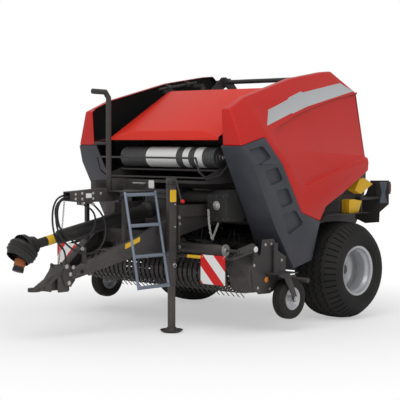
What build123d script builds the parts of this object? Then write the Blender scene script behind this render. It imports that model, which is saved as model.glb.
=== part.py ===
from build123d import *
import os
from math import acos, cos, degrees, hypot, radians, sin, tan

# Towed round baler with a fixed roller chamber, in millimetres.
# X points to the machine's left side, -Y is the direction of travel, Z is up from the ground.
# Lengths are counted from the axle line: AXLE_Y puts the origin in the middle of the footprint.

# ---- driving dimensions -------------------------------------------------------------------
AXLE_Y = 1120
FIT = 0.3            # clearance between pieces that seat on each other
RUN = 0.05           # radial clearance of a shaft in its bearing
SIDES = (("left", 1), ("right", -1))

# bale chamber
CHAMBER_WIDTH = 1230
CHAMBER_Y, CHAMBER_Z = 50, 1335
BALE_R = 625
ROLLER_R = 100
ROLLER_CORE_R = 87
ROLLER_RIBS = 8
ROLLER_SHAFT_R = 25
ROLLER_STEP = 20                        # degrees between rollers
THROAT_ANGLE = 230                      # the crop comes in where this roller is left out
WALL_T = 8
WALL_X = CHAMBER_WIDTH / 2 + 2          # inner face of a side wall
WALL_OUT = WALL_X + WALL_T
SPLIT_Y = 60                            # where the fixed and the opening half meet
SPLIT_GAP = 10
CASE_R = BALE_R + 2 * ROLLER_R + 15     # outside of the tailgate's wrapper
CASE_T = 5

# tailgate hinge and cylinders
HINGE_Y, HINGE_Z = 150, 2270
HINGE_TUBE_R = 22.5
HINGE_CLEAR_R = 140                     # the tailgate wall keeps this far from the hinge
CYL_X = WALL_OUT + 65
CYL_BARREL_R = 35
CYL_ROD_R = 20
CYL_PIN_R = 15
CYL_EYE_HALF = 25
CYL_BARREL_LEN = 780
CYL_BASE = (-100, 1000)
CYL_EYE = (560, 1750)

# wheels and axle
TYRE_R = 455
TYRE_W = 520
RIM_R = 216
RIM_W = 450
RIM_T = 8
TRACK_HALF = WALL_OUT + 335
AXLE_SIZE = 90
STUB_R = 35
HUB_R = 80

# frame and drawbar
BEAM_X = 415
BEAM_W = 100
BEAM_TOP = 1100
BEAM_H = 100
BEAM_REAR = -900
FLANGE_Y = -1670
FLANGE_T = 15
FLANGE_LOW = 690
ARM_T = 74
ARM_PLATE = 8
ARM_TIP = (65, -2590)
HEAD_X = 98                             # outer face of the hitch head's cheeks
HEAD_T = 18
EYE_Y, EYE_Z = -2921, 431
EYE_BORE_R = 25
EYE_R = 50
EYE_T = 30

# jack
JACK_X, JACK_Y = 478, -1771
JACK_OUTER = 70
JACK_WALL = 4
JACK_MIDDLE = JACK_OUTER - 2 * (JACK_WALL + FIT)
JACK_INNER = JACK_MIDDLE - 2 * (JACK_WALL + 0.5)
JACK_TURN = 20.8                        # degrees from the direction of travel
JACK_TOP = 1350
FOOT_R = 100

# pick-up
PICKUP_PIVOT = (-700, 690)
PIVOT_R = 30
ROTOR_R = 150
ROTOR_SHAFT_R = 20
ROTOR_STARS = 14
REEL = (-1320, 500)
REEL_SHAFT_R = 22
BAND_PITCH = 60
BAND_W = 40
BAND_T = 3
BAND_R = 165
TINE_BARS = 4
TINE_R = 260
TINE_T = 6
PICKUP_HALF = WALL_OUT + 475
CHEEK_X = PICKUP_HALF - 215             # end plates between the bands and the shrouds
BAND_COUNT = 2 * int((CHEEK_X - 30) / BAND_PITCH) + 1
CARRIER_Y, CARRIER_Z = -1005, 610       # cross tube that carries the pick-up
CARRIER_SIZE = 80
PRESS_Y, PRESS_Z = -1545, 727
PRESS_R = 45
GAUGE = (-1010, 288)
GAUGE_R = 182
GAUGE_W = 110
GAUGE_X = PICKUP_HALF + 75
GAUGE_RIM_R = 92

# drive
PTO_JOINT = (0, -3020, 788)             # universal joint inside the boot
PTO_END = (0, -1520, 1060)
PTO_STUB_R = 18
PTO_SHAFT_R = 26
PTO_BORE_R = 17.5
BOOT_DROOP = 51                         # degrees below level that the open boot hangs
YOKE_DROOP = 70
GEARBOX_X = 150
GEARBOX = (-1480, -1150, 920, 1230)     # front, rear, bottom, top

# net
NET_Y, NET_Z = -1270, 1520
NET_R = 95
NET_HALF = WALL_X - 19
NET_SHAFT_R = 28
CHEEK_T = 6

# hood
HOOD_HALF = WALL_X + 73
HOOD_T = 4

# side panels
PANEL_T = 5
PANEL_LEAN = 0.355                      # how far the skin leans out for each mm it drops
PANEL_TOP_X = WALL_OUT + 310            # half width of the skin at PANEL_TOP_Z
PANEL_TOP_Z = 1932
PANEL_FLAT_X = WALL_OUT + 475           # the skin is upright below this half width
PANEL_AXIS_X = WALL_OUT + 135
PANEL_AXIS = ((-680, 2175), (-150, 2262))   # hinge tube ends, length and height
PANEL_HINGE_R = 16

# platform
DECK_X0, DECK_X1 = -60, 345
DECK_Y0, DECK_Y1 = -2225, -1840
DECK_Z = 1240
DECK_T = 4
LADDER_FOOT = (525, 410)
RAIL_R = 12
POST_X, POST_Y = 240, -2110

# hoses, by name, with the points of their routes
HOSE_D = 16
HOSES = (
    ("hose_brake", [(80, -2600, 1215), (80, -2700, 1215), (84, -2772, 1140), (88, -2792, 1030), (88, -2778, 915),
                    (82, -2728, 810), (62, -2622, 742), (62, -2622, 640)]),
    ("hose_loop", [(100, -2600, 1190), (100, -2690, 1190), (104, -2745, 1120), (108, -2752, 1020), (112, -2720, 925),
                   (112, -2650, 858), (112, -2540, 830), (112, -2425, 850), (112, -2340, 915), (112, -2322, 1015),
                   (112, -2378, 1096), (112, -2470, 1132)]),
    ("hose_lamp", [(76, -2600, 1180), (76, -2696, 1180), (78, -2752, 1106), (80, -2744, 1014), (82, -2700, 932),
                   (86, -2628, 868), (90, -2556, 814), (94, -2485, 768)]),
    ("hose_lift", [(126, -2600, 1205), (126, -2710, 1205), (134, -2778, 1130), (144, -2802, 1015), (156, -2780, 900),
                   (170, -2708, 805), (184, -2608, 740), (194, -2490, 712), (192, -2376, 735), (176, -2290, 800),
                   (156, -2246, 890), (138, -2244, 985), (122, -2282, 1066), (112, -2352, 1126)]),
)
COUPLER_R, COUPLER_LEN = 13, 62
COUPLER_NUT_R, COUPLER_NUT = 17, (20, 34)
CLIP_AT = 46                            # middle of a coupler's clip, from the end of its hose


# ---- planes and small shapes ----------------------------------------------------------------
def side(x):
    """Upright plane across X: its axes are length from the axle and height."""
    return Plane((x, AXLE_Y, 0), x_dir=(0, 1, 0), z_dir=(1, 0, 0))


def front(y):
    """Upright plane across Y, facing forward: its axes are X and height."""
    return Plane((0, AXLE_Y + y, 0), x_dir=(1, 0, 0), z_dir=(0, -1, 0))


def level(z):
    """Level plane: its axes are X and length from the axle."""
    return Plane((0, AXLE_Y, z))


def at(x, y, z):
    return Vector(x, AXLE_Y + y, z)


def bar(start, end, radius, mode=Mode.ADD):
    """Round bar between two points."""
    with BuildSketch(Plane(start, z_dir=end - start)) as section:
        Circle(radius)
    extrude(section.sketch, amount=(end - start).length, mode=mode)


def cross_bar(x0, x1, y, z, radius, mode=Mode.ADD):
    """Round bar along X."""
    bar(at(x0, y, z), at(x1, y, z), radius, mode)


def clip(name, far_z):
    """Plate round a hose's coupler that reaches up or down to a height."""
    route = dict(HOSES)[name]
    end = at(*route[-1])
    way = (end - at(*route[-2])).normalized()
    middle = end + way * CLIP_AT
    y = middle.Y - AXLE_Y
    block(middle.X - 20, middle.X + 20, y - 9, y + 9, min(far_z, middle.Z - 20), max(far_z, middle.Z + 20))
    bar(end - way * 5, end + way * (COUPLER_LEN + 10), COUPLER_R + FIT, Mode.SUBTRACT)
    bar(end, end + way * (COUPLER_NUT[1] + FIT), COUPLER_NUT_R + FIT, Mode.SUBTRACT)


def block(x0, x1, y0, y1, z0, z1, mode=Mode.ADD):
    """Square block between its two corners."""
    with BuildSketch(level(min(z0, z1))) as section:
        with Locations(((x0 + x1) / 2, (y0 + y1) / 2)):
            Rectangle(abs(x1 - x0), abs(y1 - y0))
    extrude(section.sketch, amount=abs(z1 - z0), mode=mode)


def plate(x0, x1, outline, mode=Mode.ADD):
    """Plate across X with an outline of (length, height) points."""
    with BuildSketch(side(min(x0, x1))) as section:
        with BuildLine():
            Polyline(*outline, close=True)
        make_face()
    extrude(section.sketch, amount=abs(x1 - x0), mode=mode)


def turned(y, z, outline, mode=Mode.ADD):
    """Body of revolution about a line along X; outline is (x, radius) points."""
    with BuildSketch(Plane((0, AXLE_Y + y, z), x_dir=(1, 0, 0), z_dir=(0, -1, 0))) as section:
        with BuildLine():
            Polyline(*outline, close=True)
        make_face()
    revolve(section.sketch, axis=Axis((0, AXLE_Y + y, z), (1, 0, 0)), mode=mode)


def turned_on(start, run, outline, mode=Mode.ADD):
    """Body of revolution about a line in the machine's middle plane; outline is (distance, radius) points."""
    with BuildSketch(Plane(start, x_dir=run, z_dir=(1, 0, 0))) as section:
        with BuildLine():
            Polyline(*outline, close=True)
        make_face()
    revolve(section.sketch, axis=Axis(start, run), mode=mode)


def polar(centre, radius, angle):
    """Point at an angle round a centre, in (length, height)."""
    return centre[0] + radius * cos(radians(angle)), centre[1] + radius * sin(radians(angle))


def arc_points(centre, radius, start, end, steps):
    return [polar(centre, radius, start + (end - start) * k / steps) for k in range(steps + 1)]


def hexagon_bar(x0, x1, centre, radius, sides=12):
    """Shaft along X with flat sides."""
    plate(x0, x1, arc_points(centre, radius, 0, 360, sides)[:-1])


def save(builder, name):
    builder.part.label = name
    export_step(builder.part, f"parts/{name}.step")


os.makedirs("parts", exist_ok=True)
CHAMBER = (CHAMBER_Y, CHAMBER_Z)
CASE_TOP = CHAMBER_Z + CASE_R + 5

# ---- fixed half of the chamber --------------------------------------------------------------
LOBE = ((30, 48), (0, 52), (-45, 35))   # hinge lobe's corners before and over the hinge
WALL_LOW = TYRE_R - 60
THROAT = (-760, 560)
FIXED_WALL = [
    (-90, CASE_TOP - 8), (HINGE_Y - 60, HINGE_Z + 48), (HINGE_Y, HINGE_Z + 52), (HINGE_Y + 48, HINGE_Z + 30),
    (HINGE_Y + 48, HINGE_Z - 30), (HINGE_Y, HINGE_Z - 50), (SPLIT_Y, HINGE_Z - 110), (SPLIT_Y, 760), (90, 760),
    (90, WALL_LOW), (-150, WALL_LOW), (-260, THROAT[1]), THROAT, (-900, 900), (-1040, 1000), (-1040, 1640),
    (-980, 1780), (-640, 2140),
]
PAN_R = ROTOR_R + 12
with BuildPart() as chamber_walls:
    for name, s in SIDES:
        plate(s * WALL_X, s * WALL_OUT, FIXED_WALL)
        cross_bar(s * WALL_X, s * WALL_OUT, HINGE_Y, HINGE_Z, HINGE_TUBE_R + FIT / 2, Mode.SUBTRACT)
        half = (AXLE_SIZE + FIT) / 2
        block(s * WALL_X, s * WALL_OUT, -half, half, TYRE_R - half, TYRE_R + half, Mode.SUBTRACT)
        cross_bar(s * WALL_OUT, s * (WALL_OUT + 44), *PICKUP_PIVOT, PIVOT_R)
        cross_bar(s * WALL_X, s * (WALL_OUT + 44), *PICKUP_PIVOT, ROTOR_SHAFT_R + RUN, Mode.SUBTRACT)
        # pin that carries the base of the tailgate cylinder
        cross_bar(s * WALL_OUT, s * (CYL_X + CYL_EYE_HALF + 7), *CYL_BASE, CYL_PIN_R)
    # curved pan under the rotor, from the pick-up into the throat
    pan = arc_points(PICKUP_PIVOT, PAN_R, 215, 330, 6)
    plate(-WALL_X, WALL_X, pan + arc_points(PICKUP_PIVOT, PAN_R + 4, 330, 215, 6))
save(chamber_walls, "chamber_walls")


def roller_set(name, angles):
    """Ribbed chamber rollers on one body, each with its shaft reaching the side walls."""
    with BuildPart() as rollers:
        for angle in angles:
            centre = polar(CHAMBER, BALE_R + ROLLER_R, angle)
            pitch = 360 / ROLLER_RIBS
            rim = []
            for k in range(ROLLER_RIBS):
                for share, radius in ((0, ROLLER_R), (0.25, ROLLER_R), (0.4, ROLLER_CORE_R), (0.85, ROLLER_CORE_R)):
                    rim.append(polar(centre, radius, (k + share) * pitch))
            plate(-WALL_X + 3, WALL_X - 3, rim)
            hexagon_bar(-WALL_X, WALL_X, centre, ROLLER_SHAFT_R)
    save(rollers, name)
    return rollers


FIXED_ANGLES = [a for a in range(90, 271, ROLLER_STEP) if a != THROAT_ANGLE]
TAILGATE_ANGLES = list(range(-70, 71, ROLLER_STEP))
front_rollers = roller_set("front_rollers", FIXED_ANGLES)

TOP_TUBE_HALF = WALL_OUT + 115
with BuildPart() as top_tube:
    cross_bar(-TOP_TUBE_HALF, TOP_TUBE_HALF, HINGE_Y, HINGE_Z, HINGE_TUBE_R)
save(top_tube, "top_tube")

with BuildPart() as top_cover:
    plate(-WALL_X, WALL_X, [(-640, 2132), (SPLIT_Y, CASE_TOP - 9), (SPLIT_Y, CASE_TOP - 13), (-640, 2128)])
    for y in (-480, -300, -120):
        plate(-WALL_X + 60, WALL_X - 60, [(y, 2131 + (y + 640) * 0.056), (y + 12, 2137 + (y + 640) * 0.056),
                                          (y + 38, 2138 + (y + 640) * 0.056), (y + 50, 2133 + (y + 640) * 0.056)])
save(top_cover, "top_cover")

# ---- frame, axle and drawbar ----------------------------------------------------------------
AXLE_BEAM_HALF = TRACK_HALF - 130
with BuildPart() as axle:
    block(-AXLE_BEAM_HALF, AXLE_BEAM_HALF, -AXLE_SIZE / 2, AXLE_SIZE / 2, TYRE_R - AXLE_SIZE / 2,
          TYRE_R + AXLE_SIZE / 2)
    for name, s in SIDES:
        cross_bar(s * AXLE_BEAM_HALF, s * (TRACK_HALF - 15), 0, TYRE_R, STUB_R)
save(axle, "axle")

with BuildPart() as main_frame:
    for name, s in SIDES:
        x0, x1 = s * (BEAM_X - BEAM_W / 2), s * (BEAM_X + BEAM_W / 2)
        plate(x0, x1, [(FLANGE_Y + FLANGE_T, BEAM_TOP - BEAM_H), (FLANGE_Y + FLANGE_T, BEAM_TOP),
                       (BEAM_REAR, BEAM_TOP), (BEAM_REAR, BEAM_TOP - BEAM_H)])
        plate(x0 + s * 15, x1 - s * 15, [(FLANGE_Y + FLANGE_T, 830), (FLANGE_Y + FLANGE_T, BEAM_TOP - BEAM_H),
                                         (BEAM_REAR, BEAM_TOP - BEAM_H), (-1000, 920), (-1300, 900)])
        block(x0 - s * 10, x1 + s * 10, FLANGE_Y, FLANGE_Y + FLANGE_T, FLANGE_LOW, BEAM_TOP + 10)
    block(-WALL_X, WALL_X, BEAM_REAR - 100, BEAM_REAR, BEAM_TOP - BEAM_H, BEAM_TOP)
save(main_frame, "main_frame")

ARM_END = (BEAM_X, FLANGE_Y)
ARM_SPREAD, ARM_DEPTH = ARM_END[0] - ARM_TIP[0], ARM_END[1] - ARM_TIP[1]
ARM_RUN = hypot(ARM_SPREAD, ARM_DEPTH)
# an arm's top and bottom edges, as distance from its tip and height
ARM_TOP = [(0, 566), (808, 935), (ARM_RUN, 1005)]
ARM_BOTTOM = [(ARM_RUN, FLANGE_LOW), (665, FLANGE_LOW + 3), (0, 490)]
ARM_HOLE = (105, 562, 17)               # distance, height and radius


ARM_RISE = (ARM_TOP[1][1] - ARM_TOP[0][1]) / ARM_TOP[1][0]


def arm_section(plane, inset, depth, mode):
    """One step of a folded arm: its outline moved in and drawn out across the arm."""
    flip = 1 if plane.y_dir.Z > 0 else -1
    with BuildSketch(plane) as section:
        with BuildLine():
            Polyline(*[(u, flip * v) for u, v in ARM_TOP + ARM_BOTTOM], close=True)
        make_face()
        if inset:
            offset(amount=-inset, kind=Kind.INTERSECTION)
    extrude(section.sketch, amount=depth, mode=mode)


def whole_arm(s, mode):
    """An arm without its hollow; returns its middle line's start, direction and cross direction."""
    run = Vector(s * ARM_SPREAD, ARM_DEPTH, 0).normalized()
    across = Vector(run.Y, -run.X, 0)
    tip = at(s * ARM_TIP[0], ARM_TIP[1], 0)
    arm_section(Plane(tip - across * (ARM_T / 2), x_dir=run, z_dir=across), 0, ARM_T, mode)
    return tip, run, across


with BuildPart() as drawbar:
    for name, s in SIDES:
        tip, run, across = whole_arm(s, Mode.ADD)
        # the open side of each channel looks at the drive shaft
        inner = tip - across * (s * ARM_T / 2)
        arm_section(Plane(inner, x_dir=run, z_dir=across * s), ARM_PLATE, ARM_T - ARM_PLATE, Mode.SUBTRACT)
        hole = tip + run * ARM_HOLE[0] + Vector(0, 0, ARM_HOLE[1])
        bar(hole - across * ARM_T, hole + across * ARM_T, ARM_HOLE[2], Mode.SUBTRACT)
    # the arms end flat on the frame's flange and behind the hitch head
    block(-700, 700, FLANGE_Y, FLANGE_Y + 200, 300, 1200, Mode.SUBTRACT)
    block(-300, 300, ARM_TIP[1] - 200, ARM_TIP[1], 300, 1200, Mode.SUBTRACT)
    # cross member and flanges
    block(-383, 383, -1850, -1790, 760, 880)
    for name, s in SIDES:
        block(s * (BEAM_X - 60), s * (BEAM_X + 60), FLANGE_Y - 12, FLANGE_Y, FLANGE_LOW, 1020)
    clip("hose_lamp", 630)
save(drawbar, "drawbar")

TONGUE = [(ARM_TIP[1] - 8, 612), (ARM_TIP[1] - 50, 618), (EYE_Y + 78, EYE_Z + EYE_T / 2), (EYE_Y + 78, EYE_Z - EYE_T / 2),
          (EYE_Y + 190, 396), (ARM_TIP[1] - 20, 396), (ARM_TIP[1] - 8, 410)]
HEAD = [(ARM_TIP[1] - 100, 540), (ARM_TIP[1] - 68, 450), (ARM_TIP[1] - 8, 438), (ARM_TIP[1] + 42, 490),
        (ARM_TIP[1] + 42, 560), (ARM_TIP[1] + 20, 612), (ARM_TIP[1] - 58, 622)]
TONGUE_HALF = HEAD_X - HEAD_T - FIT
with BuildPart() as hitch_head:
    for name, s in SIDES:
        plate(s * (HEAD_X - HEAD_T), s * HEAD_X, HEAD)
    block(-HEAD_X, HEAD_X, ARM_TIP[1] - 8 + FIT, ARM_TIP[1], 438, 612)
    add(drawbar.part, mode=Mode.SUBTRACT)
    # bulkhead fitting for the brake hose
    fitting = HOSES[0][1][-1]
    block(fitting[0] - 16, HEAD_X, fitting[1] - 16, fitting[1] + 16, fitting[2] - 20, fitting[2] - 12)
    block(HEAD_X - HEAD_T, HEAD_X, fitting[1] - 16, fitting[1] + 16, fitting[2] - 32, fitting[2] - 12)
    bar(at(fitting[0], fitting[1], fitting[2] - 12), at(*fitting), 11)
save(hitch_head, "hitch_head")

with BuildPart() as drawbar_eye:
    plate(-TONGUE_HALF, TONGUE_HALF, TONGUE)
    # the wedge narrows to the ring's shank and is open below, between its two webs
    with BuildSketch(level(300)) as flare:
        for name, s in SIDES:
            with BuildLine():
                Polyline((s * 34, EYE_Y), (s * 34, EYE_Y + 90), (s * TONGUE_HALF, ARM_TIP[1] - 90),
                         (s * (TONGUE_HALF + 20), ARM_TIP[1] - 90), (s * (TONGUE_HALF + 20), EYE_Y), close=True)
            make_face()
    extrude(flare.sketch, amount=400, mode=Mode.SUBTRACT)
    webs = [(y, z) for y, z in TONGUE if z < 610]
    plate(-TONGUE_HALF + 12, TONGUE_HALF - 12, [
        (ARM_TIP[1] - 20, 300), (ARM_TIP[1] - 20, 592), (ARM_TIP[1] - 52, 596), (EYE_Y + 150, EYE_Z + 40),
        (EYE_Y + 150, 300)], Mode.SUBTRACT)
    with BuildSketch(level(EYE_Z - EYE_T / 2)) as ring:
        with Locations((0, EYE_Y)):
            Circle(EYE_R)
        with Locations((0, EYE_Y + 50)):
            Rectangle(60, 70)
    extrude(ring.sketch, amount=EYE_T)
    bar(at(0, EYE_Y, EYE_Z - EYE_T), at(0, EYE_Y, EYE_Z + EYE_T), EYE_BORE_R, Mode.SUBTRACT)
save(drawbar_eye, "drawbar_eye")

# ---- jack -----------------------------------------------------------------------------------


def jack_plane(z):
    turn = radians(90 - JACK_TURN)
    return Plane(at(JACK_X, JACK_Y, z), x_dir=(cos(turn), sin(turn), 0), z_dir=(0, 0, 1))


def jack_tube(size, wall, z0, z1):
    with BuildSketch(jack_plane(z0)) as section:
        Rectangle(size, size)
        if wall:
            Rectangle(size - 2 * wall, size - 2 * wall, mode=Mode.SUBTRACT)
    extrude(section.sketch, amount=z1 - z0)


# distance from the jack's tube to the drawbar arm beside it
ARM_AT_JACK = ARM_TIP[0] + (JACK_Y - ARM_TIP[1]) * ARM_SPREAD / ARM_DEPTH
JACK_REACH = (JACK_X - ARM_AT_JACK) * cos(radians(JACK_TURN)) - ARM_T / 2 - JACK_OUTER / 2 - FIT
CRANK = at(JACK_X + 10, JACK_Y - 20, JACK_TOP)
CRANK_ELBOW = at(JACK_X + 22, JACK_Y - 16, JACK_TOP + 16)
CRANK_END = at(JACK_X + 120, JACK_Y + 20, JACK_TOP - 130)
CRANK_KNOB = at(JACK_X + 158, JACK_Y + 34, JACK_TOP - 134)
with BuildPart() as jack_body:
    jack_tube(JACK_OUTER, JACK_WALL, 640, JACK_TOP - 60)
    jack_tube(JACK_MIDDLE, JACK_WALL, 412, JACK_TOP - 300)
    jack_tube(JACK_OUTER, 0, JACK_TOP - 60, JACK_TOP)
    # brackets to the drawbar arm
    for z0 in (720, 870):
        with BuildSketch(jack_plane(z0)) as bracket:
            with Locations((0, JACK_OUTER / 2 + JACK_REACH / 2)):
                Rectangle(60, JACK_REACH)
        extrude(bracket.sketch, amount=20)
    # crank handle
    bar(CRANK, CRANK + Vector(0, 0, 24), 9)
    bar(CRANK + Vector(0, 0, 16), CRANK_ELBOW, 7)
    bar(CRANK_ELBOW, CRANK_END, 7)
    bar(CRANK_END, CRANK_KNOB, 15)
save(jack_body, "jack_body")

FOOT = ((0, 0), (70, 0), (FOOT_R, 18), (FOOT_R, 26), (68, 12), (40, 45), (0, 45))
with BuildPart() as jack_leg:
    jack_tube(JACK_INNER, JACK_WALL, 45, 700)
    with BuildSketch(Plane(at(JACK_X, JACK_Y, 0), x_dir=(1, 0, 0), z_dir=(0, -1, 0))) as foot:
        with BuildLine():
            Polyline(*FOOT, close=True)
        make_face()
    revolve(foot.sketch, axis=Axis(at(JACK_X, JACK_Y, 0), (0, 0, 1)))
save(jack_leg, "jack_leg")

# ---- wheels ---------------------------------------------------------------------------------


def wheel(name, s):
    """Tyre and deep-dished rim of a main wheel."""
    half = TYRE_W / 2
    rim_half = RIM_W / 2
    well = rim_half - 12                # the beads seat here
    flange_r = RIM_R + 18
    disc = -40                          # inner face of the disc, from the wheel's middle
    with BuildPart() as tyre:
        turned(0, TYRE_R, [(s * (TRACK_HALF + x), r) for x, r in (
            (-well, RIM_R + FIT), (-well, flange_r + 4), (-half, 320), (-half + 14, 358), (-half + 55, 402),
            (-half + 110, TYRE_R - 15), (-half + 170, TYRE_R), (half - 170, TYRE_R), (half - 110, TYRE_R - 15),
            (half - 55, 402), (half - 14, 358), (half, 320), (well, flange_r + 4), (well, RIM_R + FIT))])
    save(tyre, f"tyre_{name}")
    with BuildPart() as rim:
        turned(0, TYRE_R, [(s * (TRACK_HALF + x), r) for x, r in (
            (-rim_half, RIM_R - RIM_T), (-rim_half, flange_r), (-rim_half + 10, flange_r), (-rim_half + 10, RIM_R),
            (rim_half - 10, RIM_R), (rim_half - 10, flange_r), (rim_half, flange_r), (rim_half, RIM_R - RIM_T),
            (disc + 60, RIM_R - RIM_T), (disc + 12, RIM_R - 70), (disc + 12, HUB_R), (disc + 62, HUB_R),
            (disc + 72, HUB_R - 15), (disc + 72, 0), (-14, 0), (-14, STUB_R + RUN), (-124, STUB_R + RUN),
            (-124, HUB_R), (disc, HUB_R), (disc, RIM_R - 70), (disc + 48, RIM_R - RIM_T))])
    save(rim, f"rim_{name}")


for name, s in SIDES:
    wheel(name, s)

# ---- net roll -------------------------------------------------------------------------------
NET_CHEEK = [(-1000, 1290), (-1000, 1640), (-1120, 1640), (-1180, 1558), (-1288, 1556), (-1308, 1520),
             (-1288, 1484), (-1182, 1480), (-1190, 1440), (-1330, 1416), (-1500, 1352), (-1480, 1290)]
NET_RODS = ((-1320, 1402, 9), (-1470, 1340, 8))     # length, height and radius of the guide rods
# bent lever at each side, from the cheek up to the bar in front of the roll
NET_LEVER = [(-1210, 1450), (-1320, 1362), (-1490, 1332), (-1590, 1400), (-1630, 1520)]
LEVER_R = 9
LEVER_X = WALL_OUT + CHEEK_T + LEVER_R - 3
with BuildPart() as net_box:
    for name, s in SIDES:
        plate(s * WALL_OUT, s * (WALL_OUT + CHEEK_T), NET_CHEEK)
        for start, end in zip(NET_LEVER, NET_LEVER[1:]):
            bar(at(s * LEVER_X, *start), at(s * LEVER_X, *end), LEVER_R)
        for knee in NET_LEVER[1:-1]:
            with Locations(at(s * LEVER_X, *knee)):
                Sphere(LEVER_R + 1)
    cross_bar(-LEVER_X, LEVER_X, *NET_LEVER[-1], LEVER_R)
    plate(-WALL_OUT, WALL_OUT, [(-1480, 1290), (-1480, 1316), (-1476, 1316), (-1476, 1296), (-1045, 1296),
                                (-1045, 1290)])
    for y, z, r in NET_RODS:
        cross_bar(-WALL_OUT, WALL_OUT, y, z, r)
    cross_bar(-WALL_OUT, WALL_OUT, NET_Y, NET_Z, NET_SHAFT_R)
save(net_box, "net_box")

with BuildPart() as net_roll:
    turned(NET_Y, NET_Z, [(-NET_HALF, NET_SHAFT_R + 0.5), (-NET_HALF, NET_R), (NET_HALF, NET_R),
                          (NET_HALF, NET_SHAFT_R + 0.5)])
save(net_roll, "net_roll")

# ---- hood -----------------------------------------------------------------------------------
HOOD_OUTLINE = [(-1402, 1676), (-1384, 1760), (-640, 2158), (-640, 1676)]
HOOD_TABS = []
for name, s in SIDES:
    with BuildPart() as tab:
        block(s * (WALL_OUT + FIT), s * (WALL_OUT + 30), -760, -720, 1940, 2160)
    HOOD_TABS.append(tab.part)
with BuildPart() as hood:
    plate(-HOOD_HALF, HOOD_HALF, HOOD_OUTLINE)
    for name, s in SIDES:
        # one crease on each side, from the front corner back to the top edge
        a = at(s * (WALL_X - 147), -1384, 1760)
        b = at(s * (WALL_X + 3), -640, 2158)
        c = at(s * HOOD_HALF, -1384, 1712)
        normal = (b - a).cross(c - a)
        if normal.Z < 0:
            normal = normal * -1
        split(bisect_by=Plane(a, z_dir=normal), keep=Keep.BOTTOM)
    tabs = [hood.part & solid for solid in HOOD_TABS]
    open_faces = hood.faces().sort_by(Axis.Z)[:1] + hood.faces().filter_by(Axis.X) + hood.faces().sort_by(Axis.Y)[-1:]
    offset(amount=-HOOD_T, openings=open_faces, kind=Kind.INTERSECTION)
    for tab in tabs:
        add(tab)
save(hood, "hood")

# ---- tailgate -------------------------------------------------------------------------------
TAILGATE_Y = SPLIT_Y + SPLIT_GAP
LOW_NOTCH = (110, 772)                  # the lower front corner keeps clear of the axle
with BuildPart() as tailgate_walls:
    for name, s in SIDES:
        with BuildSketch(side(min(s * WALL_X, s * WALL_OUT))) as rear_wall:
            with Locations(CHAMBER):
                Circle(CASE_R - CASE_T - FIT)
            with Locations((TAILGATE_Y - 1000, CHAMBER_Z)):
                Rectangle(2000, 2 * CASE_R, mode=Mode.SUBTRACT)
            with Locations((LOW_NOTCH[0] - 100, LOW_NOTCH[1] - 200)):
                Rectangle(200, 400, mode=Mode.SUBTRACT)
            with Locations((HINGE_Y, HINGE_Z)):
                Circle(HINGE_CLEAR_R, mode=Mode.SUBTRACT)
        extrude(rear_wall.sketch, amount=WALL_T)
save(tailgate_walls, "tailgate_walls")

tailgate_rollers = roller_set("tailgate_rollers", TAILGATE_ANGLES)

CASE_FROM, CASE_TO = -82, 77            # angles that the wrapper covers
HINGE_EAR = [(HINGE_Y - 40, HINGE_Z - 40), (HINGE_Y - 40, HINGE_Z + 30), (HINGE_Y + 30, HINGE_Z + 40),
             (HINGE_Y + 250, 2096), (HINGE_Y + 150, 2134), (HINGE_Y + 100, 2148)]
with BuildPart() as tailgate_wrap:
    with BuildSketch(side(-WALL_OUT)) as wrap:
        with BuildLine():
            for radius in (CASE_R, CASE_R - CASE_T):
                CenterArc(CHAMBER, radius, CASE_FROM, CASE_TO - CASE_FROM)
            for angle in (CASE_FROM, CASE_TO):
                Line(polar(CHAMBER, CASE_R - CASE_T, angle), polar(CHAMBER, CASE_R, angle))
        make_face()
    extrude(wrap.sketch, amount=2 * WALL_OUT)
    for x in (-WALL_X + 25, WALL_X - 25):
        plate(x - 10, x + 10, HINGE_EAR)
        cross_bar(x - 10, x + 10, HINGE_Y, HINGE_Z, HINGE_TUBE_R + 0.5, Mode.SUBTRACT)
    # stiffening channels across the back
    for angle in (45, 8, -30):
        outer = [polar(CHAMBER, CASE_R + rise, angle + turn) for rise, turn in ((-1, -3), (28, -2), (28, 2), (-1, 3))]
        plate(-WALL_OUT, WALL_OUT, outer)
save(tailgate_wrap, "tailgate_wrap")

CYL_RUN = at(0, *CYL_EYE) - at(0, *CYL_BASE)
CYL_DIR = CYL_RUN.normalized()


def cylinder(name, s):
    base = at(s * CYL_X, *CYL_BASE)
    eye = at(s * CYL_X, *CYL_EYE)
    x0, x1 = s * (CYL_X - CYL_EYE_HALF), s * (CYL_X + CYL_EYE_HALF)
    with BuildPart() as barrel:
        bar(base + CYL_DIR * 30, base + CYL_DIR * CYL_BARREL_LEN, CYL_BARREL_R)
        bar(base + CYL_DIR * (CYL_BARREL_LEN - 60), base + CYL_DIR * (CYL_BARREL_LEN - 15), CYL_BARREL_R + 5)
        cross_bar(x0, x1, *CYL_BASE, 32)
        cross_bar(x0, x1, *CYL_BASE, CYL_PIN_R + RUN, Mode.SUBTRACT)
        bar(base + CYL_DIR * 90, base + CYL_DIR * (CYL_BARREL_LEN + 10), CYL_ROD_R + RUN, Mode.SUBTRACT)
    save(barrel, f"cylinder_barrel_{name}")
    with BuildPart() as rod:
        bar(base + CYL_DIR * 100, eye - CYL_DIR * 10, CYL_ROD_R)
        cross_bar(x0, x1, *CYL_EYE, 32)
        # pin that pushes the tailgate, ending just short of its wall
        cross_bar(s * (WALL_OUT + FIT), x0, *CYL_EYE, CYL_PIN_R + 7)
    save(rod, f"cylinder_rod_{name}")


for name, s in SIDES:
    cylinder(name, s)

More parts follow.
